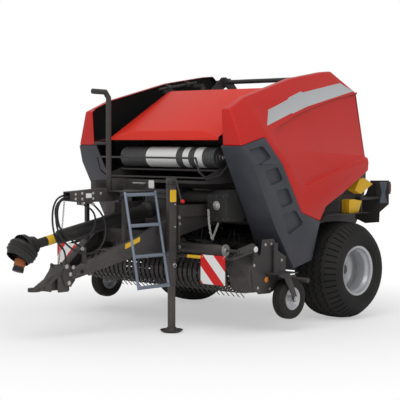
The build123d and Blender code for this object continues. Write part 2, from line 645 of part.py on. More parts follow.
# ---- side panels ----------------------------------------------------------------------------
# outline of the red skin and of the grey shield, as (length, height)
SEAM = [(-1490, 1625), (-1150, 1700), (-734, 1023), (-467, 935)]
SKIN = [(-1512, 1945)] + SEAM + [(-375, 1066), (-119, 1181), (278, 1383), (290, 1516), (287, 1609), (415, 2118),
                                 (80, 2330), (-60, 2318), (-565, 2240), (-1280, 2052)]
SHIELD = SEAM + [(-590, 590), (-850, 530), (-1100, 900)]
# sunk field of the skin and the shield's four pockets
FIELD = [(-1016, 1636), (-985, 1764), (-650, 1885), (-400, 1958), (60, 2062), (470, 2130), (470, 1560), (287, 1512),
         (-260, 1385), (-700, 1262)]
FIELD_DEPTH = 24
# shallow step along the skin's lower edge
LOWER_STEP = [(-560, 900), (-549, 997), (-467, 1145), (-219, 1270), (-127, 1312), (330, 1470), (400, 1300), (-100, 1100)]
STEP_DEPTH = 9
POCKETS = (
    [(-1412, 1588), (-1214, 1625), (-1132, 1520), (-1320, 1462)], [(-1253, 1409), (-1077, 1441), (-994, 1325), (-1165, 1281)],
    [(-1104, 1231), (-939, 1253), (-854, 1117), (-1021, 1079)], [(-1021, 1017), (-825, 1053), (-711, 927), (-923, 835)],
)
POCKET_DEPTH = 30


def skin_x(z):
    """Half width of the panel's outer face at a height."""
    return min(PANEL_FLAT_X, PANEL_TOP_X + PANEL_LEAN * (PANEL_TOP_Z - z))


KINK_Z = PANEL_TOP_Z - (PANEL_FLAT_X - PANEL_TOP_X) / PANEL_LEAN
PANEL_IN_X = WALL_X - 117               # the blocks below reach in as far as this
PANEL_LOW_Z, PANEL_HIGH_Z = 400, 2450


def lean_block(s, inset):
    """Solid between the middle of the machine and the leaning skin, moved in by inset."""
    with BuildPart() as solid:
        with BuildSketch(front(-1700)) as across:
            with BuildLine():
                Polyline(*[(s * x, z) for x, z in (
                    (PANEL_IN_X, PANEL_LOW_Z), (PANEL_IN_X, PANEL_HIGH_Z), (skin_x(PANEL_HIGH_Z) - inset, PANEL_HIGH_Z),
                    (PANEL_FLAT_X - inset, KINK_Z), (PANEL_FLAT_X - inset, PANEL_LOW_Z))], close=True)
            make_face()
        extrude(across.sketch, amount=-2400)
    return solid.part


def outline_block(s, outline, shrink=0, corner=0):
    """Outline drawn out across X, as far as the widest panel."""
    near, far = WALL_X - 17, PANEL_FLAT_X + 200
    with BuildPart() as solid:
        with BuildSketch(side(near if s > 0 else -far)) as outer:
            with BuildLine():
                Polyline(*outline, close=True)
            make_face()
            if corner:
                fillet(outer.vertices(), corner)
            if shrink:
                offset(amount=-shrink, kind=Kind.INTERSECTION)
        extrude(outer.sketch, amount=far - near)
    return solid.part


def panel_shell(s, outline, depth, gap=0):
    """Sheet panel that follows the lean, with a flange of the given depth round its outline."""
    outer = outline_block(s, outline, gap) & lean_block(s, 0)
    hollow = outline_block(s, outline, gap + PANEL_T) & lean_block(s, PANEL_T)
    return outer - hollow - lean_block(s, depth)


def pressed_in(shell, limit, s, outline, depth, corner):
    """Push a field of a panel inwards, with its own walls inside the limit."""
    cut = outline_block(s, outline, 0, corner) - lean_block(s, depth)
    lining = (outline_block(s, outline, -PANEL_T, corner) & lean_block(s, 0)) - lean_block(s, depth + PANEL_T)
    return (shell + (lining & limit)) - cut


# band that hugs a panel's front edge, and how far in its return flange reaches, as (half width, height)
RETURN_REACH = 250
SKIN_FRONT = [(-1560, 1990), (-1507, 1990), (-1482, 1615), (-1560, 1615)]
SKIN_RETURN = [(830, PANEL_HIGH_Z), (830, 1500), (1300, 1500), (1300, PANEL_HIGH_Z)]
SHIELD_FRONT = [(-1540, 1650), (-1486, 1650), (-1094, 905), (-844, 535), (-870, 480), (-1150, 880)]
SHIELD_RETURN = [(800, PANEL_HIGH_Z), (800, 1200), (1080, 690), (1300, 600), (1300, PANEL_HIGH_Z)]


def front_return(s, outline, band, reach, gap=0):
    """Wide flange that a panel turns inwards along its front edge."""
    with BuildPart() as kept:
        with BuildSketch(front(-1700)) as across:
            with BuildLine():
                Polyline(*[(s * x, z) for x, z in reach], close=True)
            make_face()
        extrude(across.sketch, amount=-2400)
    return panel_shell(s, outline, RETURN_REACH, gap) & outline_block(s, band) & kept.part


HINGE_LUGS = (0.25, 0.75)               # places of a panel's two lugs along its hinge tube
HINGE_BRACKETS = (0.12, 0.94)           # places of the brackets that hold the tube


def hinge_point(s, share):
    """Point on a panel's hinge line."""
    (y0, z0), (y1, z1) = PANEL_AXIS
    return at(s * PANEL_AXIS_X, y0 + share * (y1 - y0), z0 + share * (z1 - z0))


for name, s in SIDES:
    run = (hinge_point(s, 1) - hinge_point(s, 0)).normalized()
    with BuildPart() as lugs:
        for share in HINGE_LUGS:
            with BuildSketch(Plane(hinge_point(s, share) - run * 25, x_dir=(1, 0, 0), z_dir=run)) as lug:
                Circle(PANEL_HINGE_R + 8)
                with Locations((s * 60, 26)):
                    Rectangle(120, 12)
                with Locations((s * 10, 14)):
                    Rectangle(14, 30)
                Circle(PANEL_HINGE_R + 0.5, mode=Mode.SUBTRACT)
            extrude(lug.sketch, amount=50)
    lug_part = lugs.part & lean_block(s, PANEL_T)
    with BuildPart() as skin:
        skin_shell = panel_shell(s, SKIN, 60) + front_return(s, SKIN, SKIN_FRONT, SKIN_RETURN)
        skin_limit = outline_block(s, SKIN)
        stepped = pressed_in(skin_shell, skin_limit, s, LOWER_STEP, STEP_DEPTH, 30)
        add(pressed_in(stepped, skin_limit, s, FIELD, FIELD_DEPTH, 50))
        add(lug_part)
    save(skin, f"side_panel_{name}")
    pocketed = panel_shell(s, SHIELD, 110, FIT) + front_return(s, SHIELD, SHIELD_FRONT, SHIELD_RETURN, FIT)
    shield_limit = outline_block(s, SHIELD, FIT)
    for pocket in POCKETS:
        pocketed = pressed_in(pocketed, shield_limit, s, pocket, POCKET_DEPTH, 20)
    with BuildPart() as shield:
        add(pocketed)
    save(shield, f"side_shield_{name}")

with BuildPart() as panel_hinges:
    for name, s in SIDES:
        bar(hinge_point(s, 0), hinge_point(s, 1), PANEL_HINGE_R)
        for share in HINGE_BRACKETS:
            c = hinge_point(s, share)
            y, z = c.Y - AXLE_Y, c.Z
            block(s * WALL_OUT, s * (PANEL_AXIS_X + 5), y - 12, y + 12, z - 45, z - PANEL_HINGE_R + 4)
            block(s * WALL_OUT, s * (WALL_OUT + 6), y - 30, y + 30, z - 130, z - 40)
save(panel_hinges, "panel_hinges")

# ---- mudguards, chocks and rear lamps -------------------------------------------------------
GUARD_X0, GUARD_X1 = WALL_OUT + 117, WALL_OUT + 460
GUARD_TOP = 2 * TYRE_R + 75
GUARD_T = 4
with BuildPart() as mudguards:
    for name, s in SIDES:
        plate(s * GUARD_X0, s * GUARD_X1, [
            (-420, GUARD_TOP - 40), (-330, GUARD_TOP), (310, GUARD_TOP), (310, GUARD_TOP - GUARD_T),
            (-330, GUARD_TOP - GUARD_T), (-420, GUARD_TOP - 40 - GUARD_T)])
        for y in (-300, 20):
            cross_bar(s * WALL_OUT, s * (GUARD_X0 + 40), y, GUARD_TOP - 19, 20)
save(mudguards, "mudguards")

CHOCK_X0, CHOCK_X1 = 945, 1035
CHOCKS = ([(150, 1200), (215, 1295), (290, 1316), (475, 1238), (245, 1150)],
          [(55, 985.3), (55, 1115), (120, 1118), (285, 1095), (215, 985.3)])
with BuildPart() as wheel_chocks:
    for outline in CHOCKS:
        plate(CHOCK_X0, CHOCK_X1, outline)
    # the plate that both are strapped to stands on the mudguard
    plate(CHOCK_X0 - 10, CHOCK_X0 - FIT, [(55, GUARD_TOP), (225, GUARD_TOP), (430, 1190), (320, 1290), (150, 1215),
                                          (55, 1100)])
save(wheel_chocks, "wheel_chocks")

LAMP_Y = 600
LAMP_PLATE = [(890, 1278), (1107, 1283), (1107, 1052), (1000, 970), (995, 872), (830, 855), (705, 900), (735, 1060),
              (840, 1150)]
with BuildPart() as rear_lamps:
    for name, s in SIDES:
        with BuildSketch(front(LAMP_Y)) as carrier:
            with BuildLine():
                Polyline(*[(s * x, z) for x, z in LAMP_PLATE], close=True)
            make_face()
        extrude(carrier.sketch, amount=-5)
        block(s * 905, s * 1095, LAMP_Y + 5, LAMP_Y + 50, 1150, 1270)
        block(s * 950, s * 1000, 290, LAMP_Y, 1100, 1125)
        block(s * 950, s * 1000, 290, 310, GUARD_TOP, 1100)
save(rear_lamps, "rear_lamps")

# ---- drive ----------------------------------------------------------------------------------
JOINT = at(*PTO_JOINT)
PTO_RUN = (at(*PTO_END) - JOINT).normalized()
PTO_LEN = (at(*PTO_END) - JOINT).length
BOX_FRONT, BOX_REAR, BOX_LOW, BOX_HIGH = GEARBOX
with BuildPart() as gearbox:
    block(-GEARBOX_X, GEARBOX_X, BOX_FRONT, BOX_REAR, BOX_LOW, BOX_HIGH)
    with BuildSketch(front(BOX_FRONT)) as nose:
        with Locations((0, PTO_END[2])):
            Circle(70)
    extrude(nose.sketch, amount=40)
    bar(at(*PTO_END) - PTO_RUN * 60, at(*PTO_END) + PTO_RUN * 30, PTO_STUB_R)
    block(-GEARBOX_X - 20, GEARBOX_X + 20, BOX_REAR, BEAM_REAR - 100, BEAM_TOP - BEAM_H, BEAM_TOP)
    cross_bar(GEARBOX_X, 560, -1250, 1165, 55)
    # cooling ribs on the front face
    for z in range(BOX_LOW + 30, BOX_HIGH, 50):
        if abs(z - PTO_END[2]) > 80:
            block(-GEARBOX_X + 20, GEARBOX_X - 20, BOX_FRONT - 12, BOX_FRONT, z - 4, z + 4)
save(gearbox, "gearbox")

BOX_X0, BOX_X1 = 560, 785
with BuildPart() as side_box:
    plate(BOX_X0, BOX_X1, [(-1400, 960), (-1400, 1200), (-1340, 1235), (-1120, 1235), (-1100, 1100), (-1180, 950)])
    block(WALL_OUT, BOX_X1 - 60, -1150, -960, 1100, 1200)
save(side_box, "side_box")

GUARD_STEP = 392                        # where the slim tube slides into the wide one, from the joint
with BuildPart() as pto_guard:
    turned_on(JOINT, PTO_RUN, [
        (104, PTO_SHAFT_R + FIT), (104, 40), (GUARD_STEP, 40), (GUARD_STEP, 60), (PTO_LEN - 130, 60), (PTO_LEN - 90, 78),
        (PTO_LEN - 18, 78), (PTO_LEN - 18, 72), (PTO_LEN - 94, 72), (PTO_LEN - 132, 55), (GUARD_STEP + 6, 55),
        (GUARD_STEP + 6, 35), (160, 35), (160, PTO_SHAFT_R + FIT)])
save(pto_guard, "pto_guard")


def droop(angle):
    return Vector(0, -cos(radians(angle)), -sin(radians(angle)))


BOOT_T = 5
BOOT_NECK = [(126, 44), (112, 72), (60, 84), (20, 112), (-20, 118)]     # along the drive line, with radius
BOOT_BELL = [(-30, 96), (-6, 126), (10, 130), (24, 120), (38, 130), (52, 119), (66, 127), (80, 112), (112, 100)]


def boot_body(wall):
    """Rubber boot round the universal joint, or the space inside it."""
    with BuildPart() as body:
        neck = [(u, r - wall) for u, r in BOOT_NECK]
        turned_on(JOINT, PTO_RUN, [(neck[0][0] - wall, 0)] + [(neck[0][0] - wall, neck[0][1])] + neck[1:]
                  + [(neck[-1][0], 0)])
        bell = [(u + wall / 2, r - wall) for u, r in BOOT_BELL]
        turned_on(JOINT, droop(BOOT_DROOP), [(bell[0][0], 0)] + bell + [(bell[-1][0], 0)])
    return body.part


with BuildPart() as pto_boot:
    add(boot_body(0) - boot_body(BOOT_T))
    bar(JOINT + PTO_RUN * 80, JOINT + PTO_RUN * 140, 40 + FIT, Mode.SUBTRACT)
save(pto_boot, "pto_boot")

with BuildPart() as pto_shaft:
    turned_on(JOINT, PTO_RUN, [(40, 0), (40, PTO_SHAFT_R), (PTO_LEN - 10, PTO_SHAFT_R), (PTO_LEN - 10, PTO_STUB_R + RUN),
                               (PTO_LEN - 62, PTO_STUB_R + RUN), (PTO_LEN - 62, 0)])
    # fork, cross and the yoke that hangs out of the boot
    for s in (-1, 1):
        bar(JOINT + Vector(s * 26, 0, 0), JOINT + Vector(s * 40, 0, 0), 22)
        bar(JOINT + PTO_RUN * 60 + Vector(s * 24, 0, 0), JOINT + Vector(s * 33, 0, 0), 9)
    cross_bar(-40, 40, PTO_JOINT[1], PTO_JOINT[2], 11)
    turned_on(JOINT, droop(YOKE_DROOP), [(-14, 0), (-14, 24), (60, 30), (80, 37), (150, 37), (156, 44), (205, 44),
                                         (205, PTO_BORE_R), (125, PTO_BORE_R), (125, 0)])
save(pto_shaft, "pto_shaft")

# ---- feed rotor -----------------------------------------------------------------------------
STAR_SPAN = 2 * WALL_X - 114
with BuildPart() as feed_rotor:
    hexagon_bar(-WALL_X + 3, WALL_X - 3, PICKUP_PIVOT, 60)
    for k in range(ROTOR_STARS):
        x = -STAR_SPAN / 2 + k * STAR_SPAN / (ROTOR_STARS - 1)
        tip, root = (0, ROTOR_R), 58
        star = [polar(PICKUP_PIVOT, r, k * 20 + a + 90 * q) for q in range(4) for a, r in (tip, (35, root), (70, root))]
        plate(x - 5, x + 5, star)
    for name, s in SIDES:
        cross_bar(s * (WALL_X - 3 + FIT), s * (WALL_OUT + 15), *PICKUP_PIVOT, ROTOR_SHAFT_R)
save(feed_rotor, "feed_rotor")

# ---- pick-up --------------------------------------------------------------------------------
ARM_X = WALL_OUT + 20                   # inner face of the arms that carry the pick-up
ARM_PLATE_T = 20
CHEEK = [(-1500, 560), (-1400, 690), (CARRIER_Y - 40, 690), (CARRIER_Y - 40, 380), (-1300, 340), (-1440, 380)]
END_PLATE = [(-1400, 400), (-1430, 560), (-1390, 668), (-1300, 690), (-1280, 815), (-1130, 815), (-1060, 700),
             (CARRIER_Y + 45, 650), (CARRIER_Y + 45, 420), (-1180, 340), (-1330, 345)]
FORK_X = GAUGE_X + GAUGE_W / 2 + 12
with BuildPart() as pickup_frame:
    # carrier tube, arms back to the pivot and end plates
    half = CARRIER_SIZE / 2
    block(-PICKUP_HALF, PICKUP_HALF, CARRIER_Y - half, CARRIER_Y + half, CARRIER_Z - half, CARRIER_Z + half)
    for name, s in SIDES:
        pivot_y, pivot_z = PICKUP_PIVOT
        plate(s * ARM_X, s * (ARM_X + ARM_PLATE_T), [
            (CARRIER_Y + half, CARRIER_Z - half), (CARRIER_Y + half, CARRIER_Z + half), (pivot_y - 20, pivot_z + 45),
            (pivot_y + 25, pivot_z + 40), (pivot_y + 45, pivot_z), (pivot_y + 25, pivot_z - 40),
            (pivot_y - 20, pivot_z - 45)])
        cross_bar(s * ARM_X, s * (ARM_X + ARM_PLATE_T), *PICKUP_PIVOT, PIVOT_R + RUN, Mode.SUBTRACT)
        plate(s * CHEEK_X, s * (CHEEK_X + CHEEK_T), CHEEK)
        cross_bar(s * CHEEK_X, s * (CHEEK_X + CHEEK_T), *REEL, REEL_SHAFT_R, Mode.SUBTRACT)
        plate(s * (PICKUP_HALF - CHEEK_T), s * PICKUP_HALF, END_PLATE)
        # gauge wheel: bracket, height bar and fork arm outside the tyre
        block(s * PICKUP_HALF, s * FORK_X, -1230, CARRIER_Y + 40, 512, 522)
        block(s * (PICKUP_HALF + 12), s * (PICKUP_HALF + 24), -1150, -1100, 522, 780)
        cross_bar(s * PICKUP_HALF, s * (PICKUP_HALF + 170), -860, 440, 22)
        block(s * PICKUP_HALF, s * (PICKUP_HALF + 14), -990, -835, 400, 480)
        plate(s * FORK_X, s * (FORK_X + 10), [(-1230, 500), (-1230, 522), (-1090, 522), (GAUGE[0] + 26, GAUGE[1] + 10),
                                             (GAUGE[0] + 20, GAUGE[1] - 25), (GAUGE[0] - 20, GAUGE[1] - 25),
                                             (GAUGE[0] - 34, GAUGE[1] + 20), (-1160, 480)])
        cross_bar(s * (PICKUP_HALF + 12), s * FORK_X, *GAUGE, 12)
save(pickup_frame, "pickup_frame")

BAND_SPAN = (BAND_COUNT - 1) * BAND_PITCH / 2
BAND_STEPS = 9
with BuildPart() as pickup_bands:
    back = CARRIER_Y - CARRIER_SIZE / 2
    outer = arc_points(REEL, BAND_R, 90, 270, BAND_STEPS)
    inner = arc_points(REEL, BAND_R - BAND_T, 270, 90, BAND_STEPS)
    band = ([(back, CARRIER_Z + 39)] + outer + [(back, REEL[1] - BAND_R + 60), (back, REEL[1] - BAND_R + 60 + BAND_T)]
            + inner + [(back, CARRIER_Z + 39 - BAND_T)])
    for k in range(BAND_COUNT):
        x = -BAND_SPAN + k * BAND_PITCH
        plate(x - BAND_W / 2, x + BAND_W / 2, band)
save(pickup_bands, "pickup_bands")

TINE = ((105, -2), (105, 2), (180, 4), (TINE_R, 12), (TINE_R, 10.6), (180, 2))     # radius and angle
BAR_R = 16
with BuildPart() as pickup_reel:
    hexagon_bar(-CHEEK_X + 5, CHEEK_X - 5, REEL, REEL_SHAFT_R - 1)
    for name, s in SIDES:
        cross_bar(s * (CHEEK_X - 5), s * (CHEEK_X + 11), *REEL, REEL_SHAFT_R - RUN)
    for k in range(TINE_BARS):
        angle = k * 360 / TINE_BARS + 20
        hexagon_bar(-CHEEK_X + 15, CHEEK_X - 15, polar(REEL, 105, angle), BAR_R, 8)
        for x in (-CHEEK_X + 17, -306, 294, CHEEK_X - 29):
            plate(x, x + 12, [polar(REEL, 15, angle - 90), polar(REEL, 15, angle + 90), polar(REEL, 105, angle + 6),
                              polar(REEL, 105, angle - 6)])
        for n in range(BAND_COUNT - 1):
            x = -BAND_SPAN + (n + 0.5) * BAND_PITCH
            plate(x - TINE_T / 2, x + TINE_T / 2, [polar(REEL, r, angle + a) for r, a in TINE])
save(pickup_reel, "pickup_reel")

SHROUD_IN, SHROUD_OUT = CHEEK_X + CHEEK_T, PICKUP_HALF - CHEEK_T - FIT
with BuildPart() as side_shrouds:
    for name, s in SIDES:
        turned(*REEL, [(s * x, r) for x, r in (
            (SHROUD_IN, 30), (SHROUD_IN, 158), (SHROUD_IN + 70, 156), (SHROUD_OUT - 50, 146), (SHROUD_OUT, 132),
            (SHROUD_OUT, 30))])
save(side_shrouds, "side_shrouds")

GUARD_ARM_X = PICKUP_HALF - 30
WIND_GUARD = [(PRESS_Y - 30, PRESS_Z - 20), (PRESS_Y - 25, PRESS_Z + 25), (-1380, 790), (-1330, 760), (-1330, 701),
              (-1400, 700.3)]
PRESS_SHAFT_R = 14
with BuildPart() as wind_guard:
    for name, s in SIDES:
        plate(s * GUARD_ARM_X, s * (GUARD_ARM_X + 8), WIND_GUARD)
        block(s * GUARD_ARM_X, s * SHROUD_OUT, -1378, -1332, 640, 701)
        cross_bar(s * GUARD_ARM_X, s * (GUARD_ARM_X + 8), PRESS_Y, PRESS_Z, PRESS_SHAFT_R, Mode.SUBTRACT)
        bar(at(s * (GUARD_ARM_X + 4), -1650, 664), at(s * (GUARD_ARM_X + 4), -1480, 696), 13)
        bar(at(s * (GUARD_ARM_X + 4), -1480, 696), at(s * (GUARD_ARM_X + 4), -1390, 716), 13)
    # bent tube guard across the front
    cross_bar(-GUARD_ARM_X - 4, GUARD_ARM_X + 4, -1650, 664, 13)
save(wind_guard, "wind_guard")

with BuildPart() as press_roller:
    cross_bar(-PICKUP_HALF + 15, PICKUP_HALF - 15, PRESS_Y, PRESS_Z, PRESS_SHAFT_R - 0.1)
    cross_bar(-900, 900, PRESS_Y, PRESS_Z, PRESS_R)
    for x in (-905, 905):
        cross_bar(x - 5, x + 5, PRESS_Y, PRESS_Z, PRESS_R + 8)
save(press_roller, "press_roller")

BOARD_Y = -1743
with BuildPart() as warning_boards:
    for name, s in SIDES:
        block(s * 800, s * 1080, BOARD_Y, BOARD_Y + 3, 450, 700)
        block(s * 920, s * 960, BOARD_Y + 3, -1650 - 13 - FIT, 655, 675)
save(warning_boards, "warning_boards")

for name, s in SIDES:
    half = GAUGE_W / 2
    with BuildPart() as gauge_tyre:
        turned(*GAUGE, [(s * (GAUGE_X + x), r) for x, r in (
            (-45, GAUGE_RIM_R + 8), (-half, 132), (-half + 4, 160), (-half + 20, GAUGE_R), (half - 20, GAUGE_R),
            (half - 4, 160), (half, 132), (45, GAUGE_RIM_R + 8))])
    save(gauge_tyre, f"gauge_tyre_{name}")
    with BuildPart() as gauge_rim:
        rim_r = GAUGE_RIM_R + 8 - FIT
        turned(*GAUGE, [(s * (GAUGE_X + x), r) for x, r in (
            (-45, GAUGE_RIM_R), (-45, rim_r), (45, rim_r), (45, GAUGE_RIM_R), (8, GAUGE_RIM_R - 6), (8, 28), (50, 28),
            (50, 12.1), (-50, 12.1), (-50, 28), (-8, 28), (-8, GAUGE_RIM_R - 6))])
    save(gauge_rim, f"gauge_rim_{name}")

# ---- platform, ladder, handrail and hose arm ------------------------------------------------
ARM_TOP_AT_POST = ARM_TOP[0][1] + (POST_Y - ARM_TIP[1]) * ARM_RUN / ARM_DEPTH * ARM_RISE
with BuildPart() as platform:
    block(DECK_X0, DECK_X1, DECK_Y0, DECK_Y1, DECK_Z - DECK_T, DECK_Z)
    # perforated tread edge beside the ladder
    block(DECK_X1 - DECK_T, DECK_X1, DECK_Y0, DECK_Y1, DECK_Z - 34, DECK_Z - DECK_T)
    for k in range(7):
        y = DECK_Y0 + 50 + k * (DECK_Y1 - DECK_Y0 - 100) / 6
        cross_bar(DECK_X1 - 10, DECK_X1 + 10, y, DECK_Z - 18, 9, Mode.SUBTRACT)
    # step riser behind the deck, and its handle
    block(DECK_X0, DECK_X0 + 60, DECK_Y0, DECK_Y1, DECK_Z, DECK_Z + 92)
    block(DECK_X0, DECK_X1, DECK_Y1 - DECK_T, DECK_Y1, DECK_Z, DECK_Z + 92)
    for x in (-40, 285):
        block(x, x + 40, DECK_Y0 + 20, DECK_Y1, DECK_Z - 44, DECK_Z - DECK_T)
    # posts down to the drawbar arms
    for s in (-1, 1):
        block(s * POST_X - 16, s * POST_X + 16, POST_Y - 16, POST_Y + 16, ARM_TOP_AT_POST - 30, DECK_Z - 44)
    block(-POST_X - 16, POST_X + 80, POST_Y - 16, POST_Y + 16, DECK_Z - 84, DECK_Z - 44)
    for name, s in SIDES:
        whole_arm(s, Mode.SUBTRACT)
save(platform, "platform")

RUNG_H, RUNG_T, RUNGS = 28, 22, 4
with BuildPart() as ladder:
    top, low = (DECK_X1 + RAIL_R + FIT, DECK_Z - 6), LADDER_FOOT
    for y in (DECK_Y0 + RAIL_R, DECK_Y1 - RAIL_R):
        bar(at(top[0], y, top[1]), at(low[0], y, low[1]), RAIL_R)
    for k in range(RUNGS):
        share = 0.03 + k * 0.95 / (RUNGS - 1)
        x, z = top[0] + share * (low[0] - top[0]), top[1] + share * (low[1] - top[1])
        block(x - RUNG_T / 2, x + RUNG_T / 2, DECK_Y0 + RAIL_R, DECK_Y1 - RAIL_R, z - RUNG_H / 2, z + RUNG_H / 2)
save(ladder, "ladder")

RAIL_X, RAIL_Y = 100, DECK_Y0 + 65
RAIL = [(RAIL_Y, DECK_Z), (RAIL_Y, 2040), (RAIL_Y - 38, 2090), (RAIL_Y - 185, 2094)]
HANDRAIL_R = 23
with BuildPart() as handrail:
    for start, end in zip(RAIL, RAIL[1:]):
        bar(at(RAIL_X, *start), at(RAIL_X, *end), HANDRAIL_R)
    for knee in RAIL[1:-1]:
        with Locations(at(RAIL_X, *knee)):
            Sphere(HANDRAIL_R)
    bar(at(RAIL_X, RAIL_Y, 1648), at(RAIL_X, RAIL_Y - 165, 1648), 13)
    # upright box that the rail is bolted to
    block(RAIL_X - 32, RAIL_X + 32, RAIL_Y + 12, RAIL_Y + 140, DECK_Z, DECK_Z + 90)
save(handrail, "handrail")

CHANNEL_X0, CHANNEL_X1 = 60, 150
CHANNEL_Y = HOSES[0][1][0][1]           # the hoses leave a clamp at this length
BEAM_FACE = POST_Y - 16 - FIT           # the arm's root stands against the platform's cross beam
UNDER_DECK = DECK_Z - DECK_T - FIT
CHANNEL = [(CHANNEL_Y - 45, 1166), (CHANNEL_Y - 45, 1244), (DECK_Y0 - FIT, 1264), (DECK_Y0 - FIT, UNDER_DECK),
           (BEAM_FACE, UNDER_DECK), (BEAM_FACE, 1150), (-2500, 1150)]
with BuildPart() as hose_arm:
    plate(CHANNEL_X0, CHANNEL_X1, CHANNEL)
    plate(CHANNEL_X0 + 5, CHANNEL_X1 - 5, [
        (CHANNEL_Y - 50, 1100), (CHANNEL_Y - 50, 1238), (DECK_Y0 - 6, 1258), (DECK_Y0 - 6, UNDER_DECK - 5),
        (BEAM_FACE - 6, UNDER_DECK - 5), (BEAM_FACE - 6, 1100)], Mode.SUBTRACT)
    block(CHANNEL_X0, CHANNEL_X1, CHANNEL_Y, CHANNEL_Y + 30, 1170, 1238)
    block(CHANNEL_X0, CHANNEL_X1, -2520, -2506, 1165, 1240)
    block(CHANNEL_X0, CHANNEL_X1, -2394, -2380, 1165, 1245)
    clip("hose_loop", 1180)
    clip("hose_lift", 1180)
save(hose_arm, "hose_arm")

# ---- hoses and their couplers ---------------------------------------------------------------


def route_radii(points):
    """Largest arc at each inner point: 0.45 of the shorter run over the tangent of half the turn."""
    radii = []
    for a, b, c in zip(points, points[1:], points[2:]):
        before, after = b - a, c - b
        turn = acos(max(-1, min(1, before.dot(after) / before.length / after.length)))
        radii.append(0.45 * min(before.length, after.length) / tan(turn / 2))
        assert degrees(turn) < 90
    return radii


with BuildPart() as hose_couplers:
    for name, route in HOSES[1:]:
        end = at(*route[-1])
        way = (end - at(*route[-2])).normalized()
        bar(end, end + way * COUPLER_LEN, COUPLER_R)
        bar(end + way * COUPLER_NUT[0], end + way * COUPLER_NUT[1], COUPLER_NUT_R)
save(hose_couplers, "hose_couplers")

for name, route in HOSES:
    points = [at(*p) for p in route]
    radii = route_radii(points)
    with BuildPart() as hose:
        with BuildLine() as path:
            FilletPolyline(*points, radius=radii)
        with BuildSketch(Plane(points[0], z_dir=points[1] - points[0])) as section:
            Circle(HOSE_D / 2)
        sweep(section.sketch, path=path.line)
    save(hose, name)
    length = sum(edge.length for edge in path.edges())
    print(name, "length", round(length), "radii", [round(r) for r in radii],
          "volume ratio", round(hose.part.volume / (length * 3.14159265 * (HOSE_D / 2) ** 2), 3))
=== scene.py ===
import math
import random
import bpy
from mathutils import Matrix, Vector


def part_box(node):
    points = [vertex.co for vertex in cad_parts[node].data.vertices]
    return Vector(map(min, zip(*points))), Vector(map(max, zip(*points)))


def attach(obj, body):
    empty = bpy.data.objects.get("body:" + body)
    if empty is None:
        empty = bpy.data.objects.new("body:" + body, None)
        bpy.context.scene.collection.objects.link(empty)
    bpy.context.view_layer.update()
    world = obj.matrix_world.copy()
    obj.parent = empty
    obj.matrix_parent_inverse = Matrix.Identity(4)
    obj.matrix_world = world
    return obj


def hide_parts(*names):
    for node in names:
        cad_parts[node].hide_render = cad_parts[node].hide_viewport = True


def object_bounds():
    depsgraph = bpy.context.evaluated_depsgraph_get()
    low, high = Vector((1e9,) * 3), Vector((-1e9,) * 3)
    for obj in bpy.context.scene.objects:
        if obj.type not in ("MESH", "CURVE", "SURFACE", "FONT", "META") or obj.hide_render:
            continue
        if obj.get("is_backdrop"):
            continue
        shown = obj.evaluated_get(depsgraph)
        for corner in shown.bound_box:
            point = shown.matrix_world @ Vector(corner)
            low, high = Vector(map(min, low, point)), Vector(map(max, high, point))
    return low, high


bl_info = {
    "name": "Round Baler Builder",
    "version": (1, 0, 0),
    "blender": (4, 5, 0),
    "location": "View3D > Sidebar > Baler",
    "description": "Dresses the fixed frame of a towed round baler with finished pieces and a stage",
    "category": "Object",
}

import bmesh
import bpy
from mathutils import Matrix, Vector

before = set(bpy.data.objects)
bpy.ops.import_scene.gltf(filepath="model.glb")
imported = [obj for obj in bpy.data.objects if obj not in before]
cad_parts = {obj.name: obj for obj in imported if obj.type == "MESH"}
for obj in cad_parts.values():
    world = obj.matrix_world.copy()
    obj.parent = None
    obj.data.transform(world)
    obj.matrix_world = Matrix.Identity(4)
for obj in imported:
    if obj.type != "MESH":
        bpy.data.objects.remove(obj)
CAD_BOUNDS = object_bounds()

AXLE = 1.120                            # how far behind the origin the axle stands
SIDES = (("left", 1), ("right", -1))


def at(x, y, z):
    """Point given from the axle line and the ground, in millimetres."""
    return Vector((x / 1000, y / 1000 + AXLE, z / 1000))


# ---- settings ---------------------------------------------------------------


def colour_setting(name, description, default):
    return bpy.props.FloatVectorProperty(
        name=name, description=description, default=default, subtype="COLOR", size=3, min=0, max=1)


def length_setting(name, description, default):
    return bpy.props.FloatProperty(name=name, description=description, default=default, unit="LENGTH", min=0)


class BalerPaints(bpy.types.PropertyGroup):
    """Colours of the baler's paints and plastics."""

    panel: colour_setting("Side panels", "Gloss red of the side panels", (0.56, 0.013, 0.008))
    # Hood: the panels' red painted lighter, a painted highlight for the light that falls on its top.
    hood: colour_setting("Hood", "Red of the hood over the net roll", (0.70, 0.026, 0.012))
    structure: colour_setting("Structure", "Dark grey of the frame and chamber", (0.045, 0.040, 0.040))
    shield: colour_setting("Shields", "Blue grey of the moulded lower shields", (0.045, 0.047, 0.060))
    ladder: colour_setting("Ladder", "Pale grey of the ladder and its rungs", (0.20, 0.24, 0.30))
    rim: colour_setting("Rims", "Silver of the wheel rims", (0.56, 0.57, 0.59))
    rubber: colour_setting("Tyres", "Rubber of the tyres", (0.016, 0.015, 0.0145))
    yellow: colour_setting("Yellow", "Yellow of the wheel chocks and markers", (0.80, 0.47, 0.02))
    board_red: colour_setting("Board red", "Red stripes of the warning boards", (0.62, 0.012, 0.012))


class BalerTyres(bpy.types.PropertyGroup):
    """Tread of the tyres."""

    groove_depth: length_setting("Groove depth", "Depth of the main tyres' grooves", 0.012)
    sidewall_blocks: bpy.props.IntProperty(
        name="Shoulder blocks", description="Blocks round each shoulder", default=44, min=12)


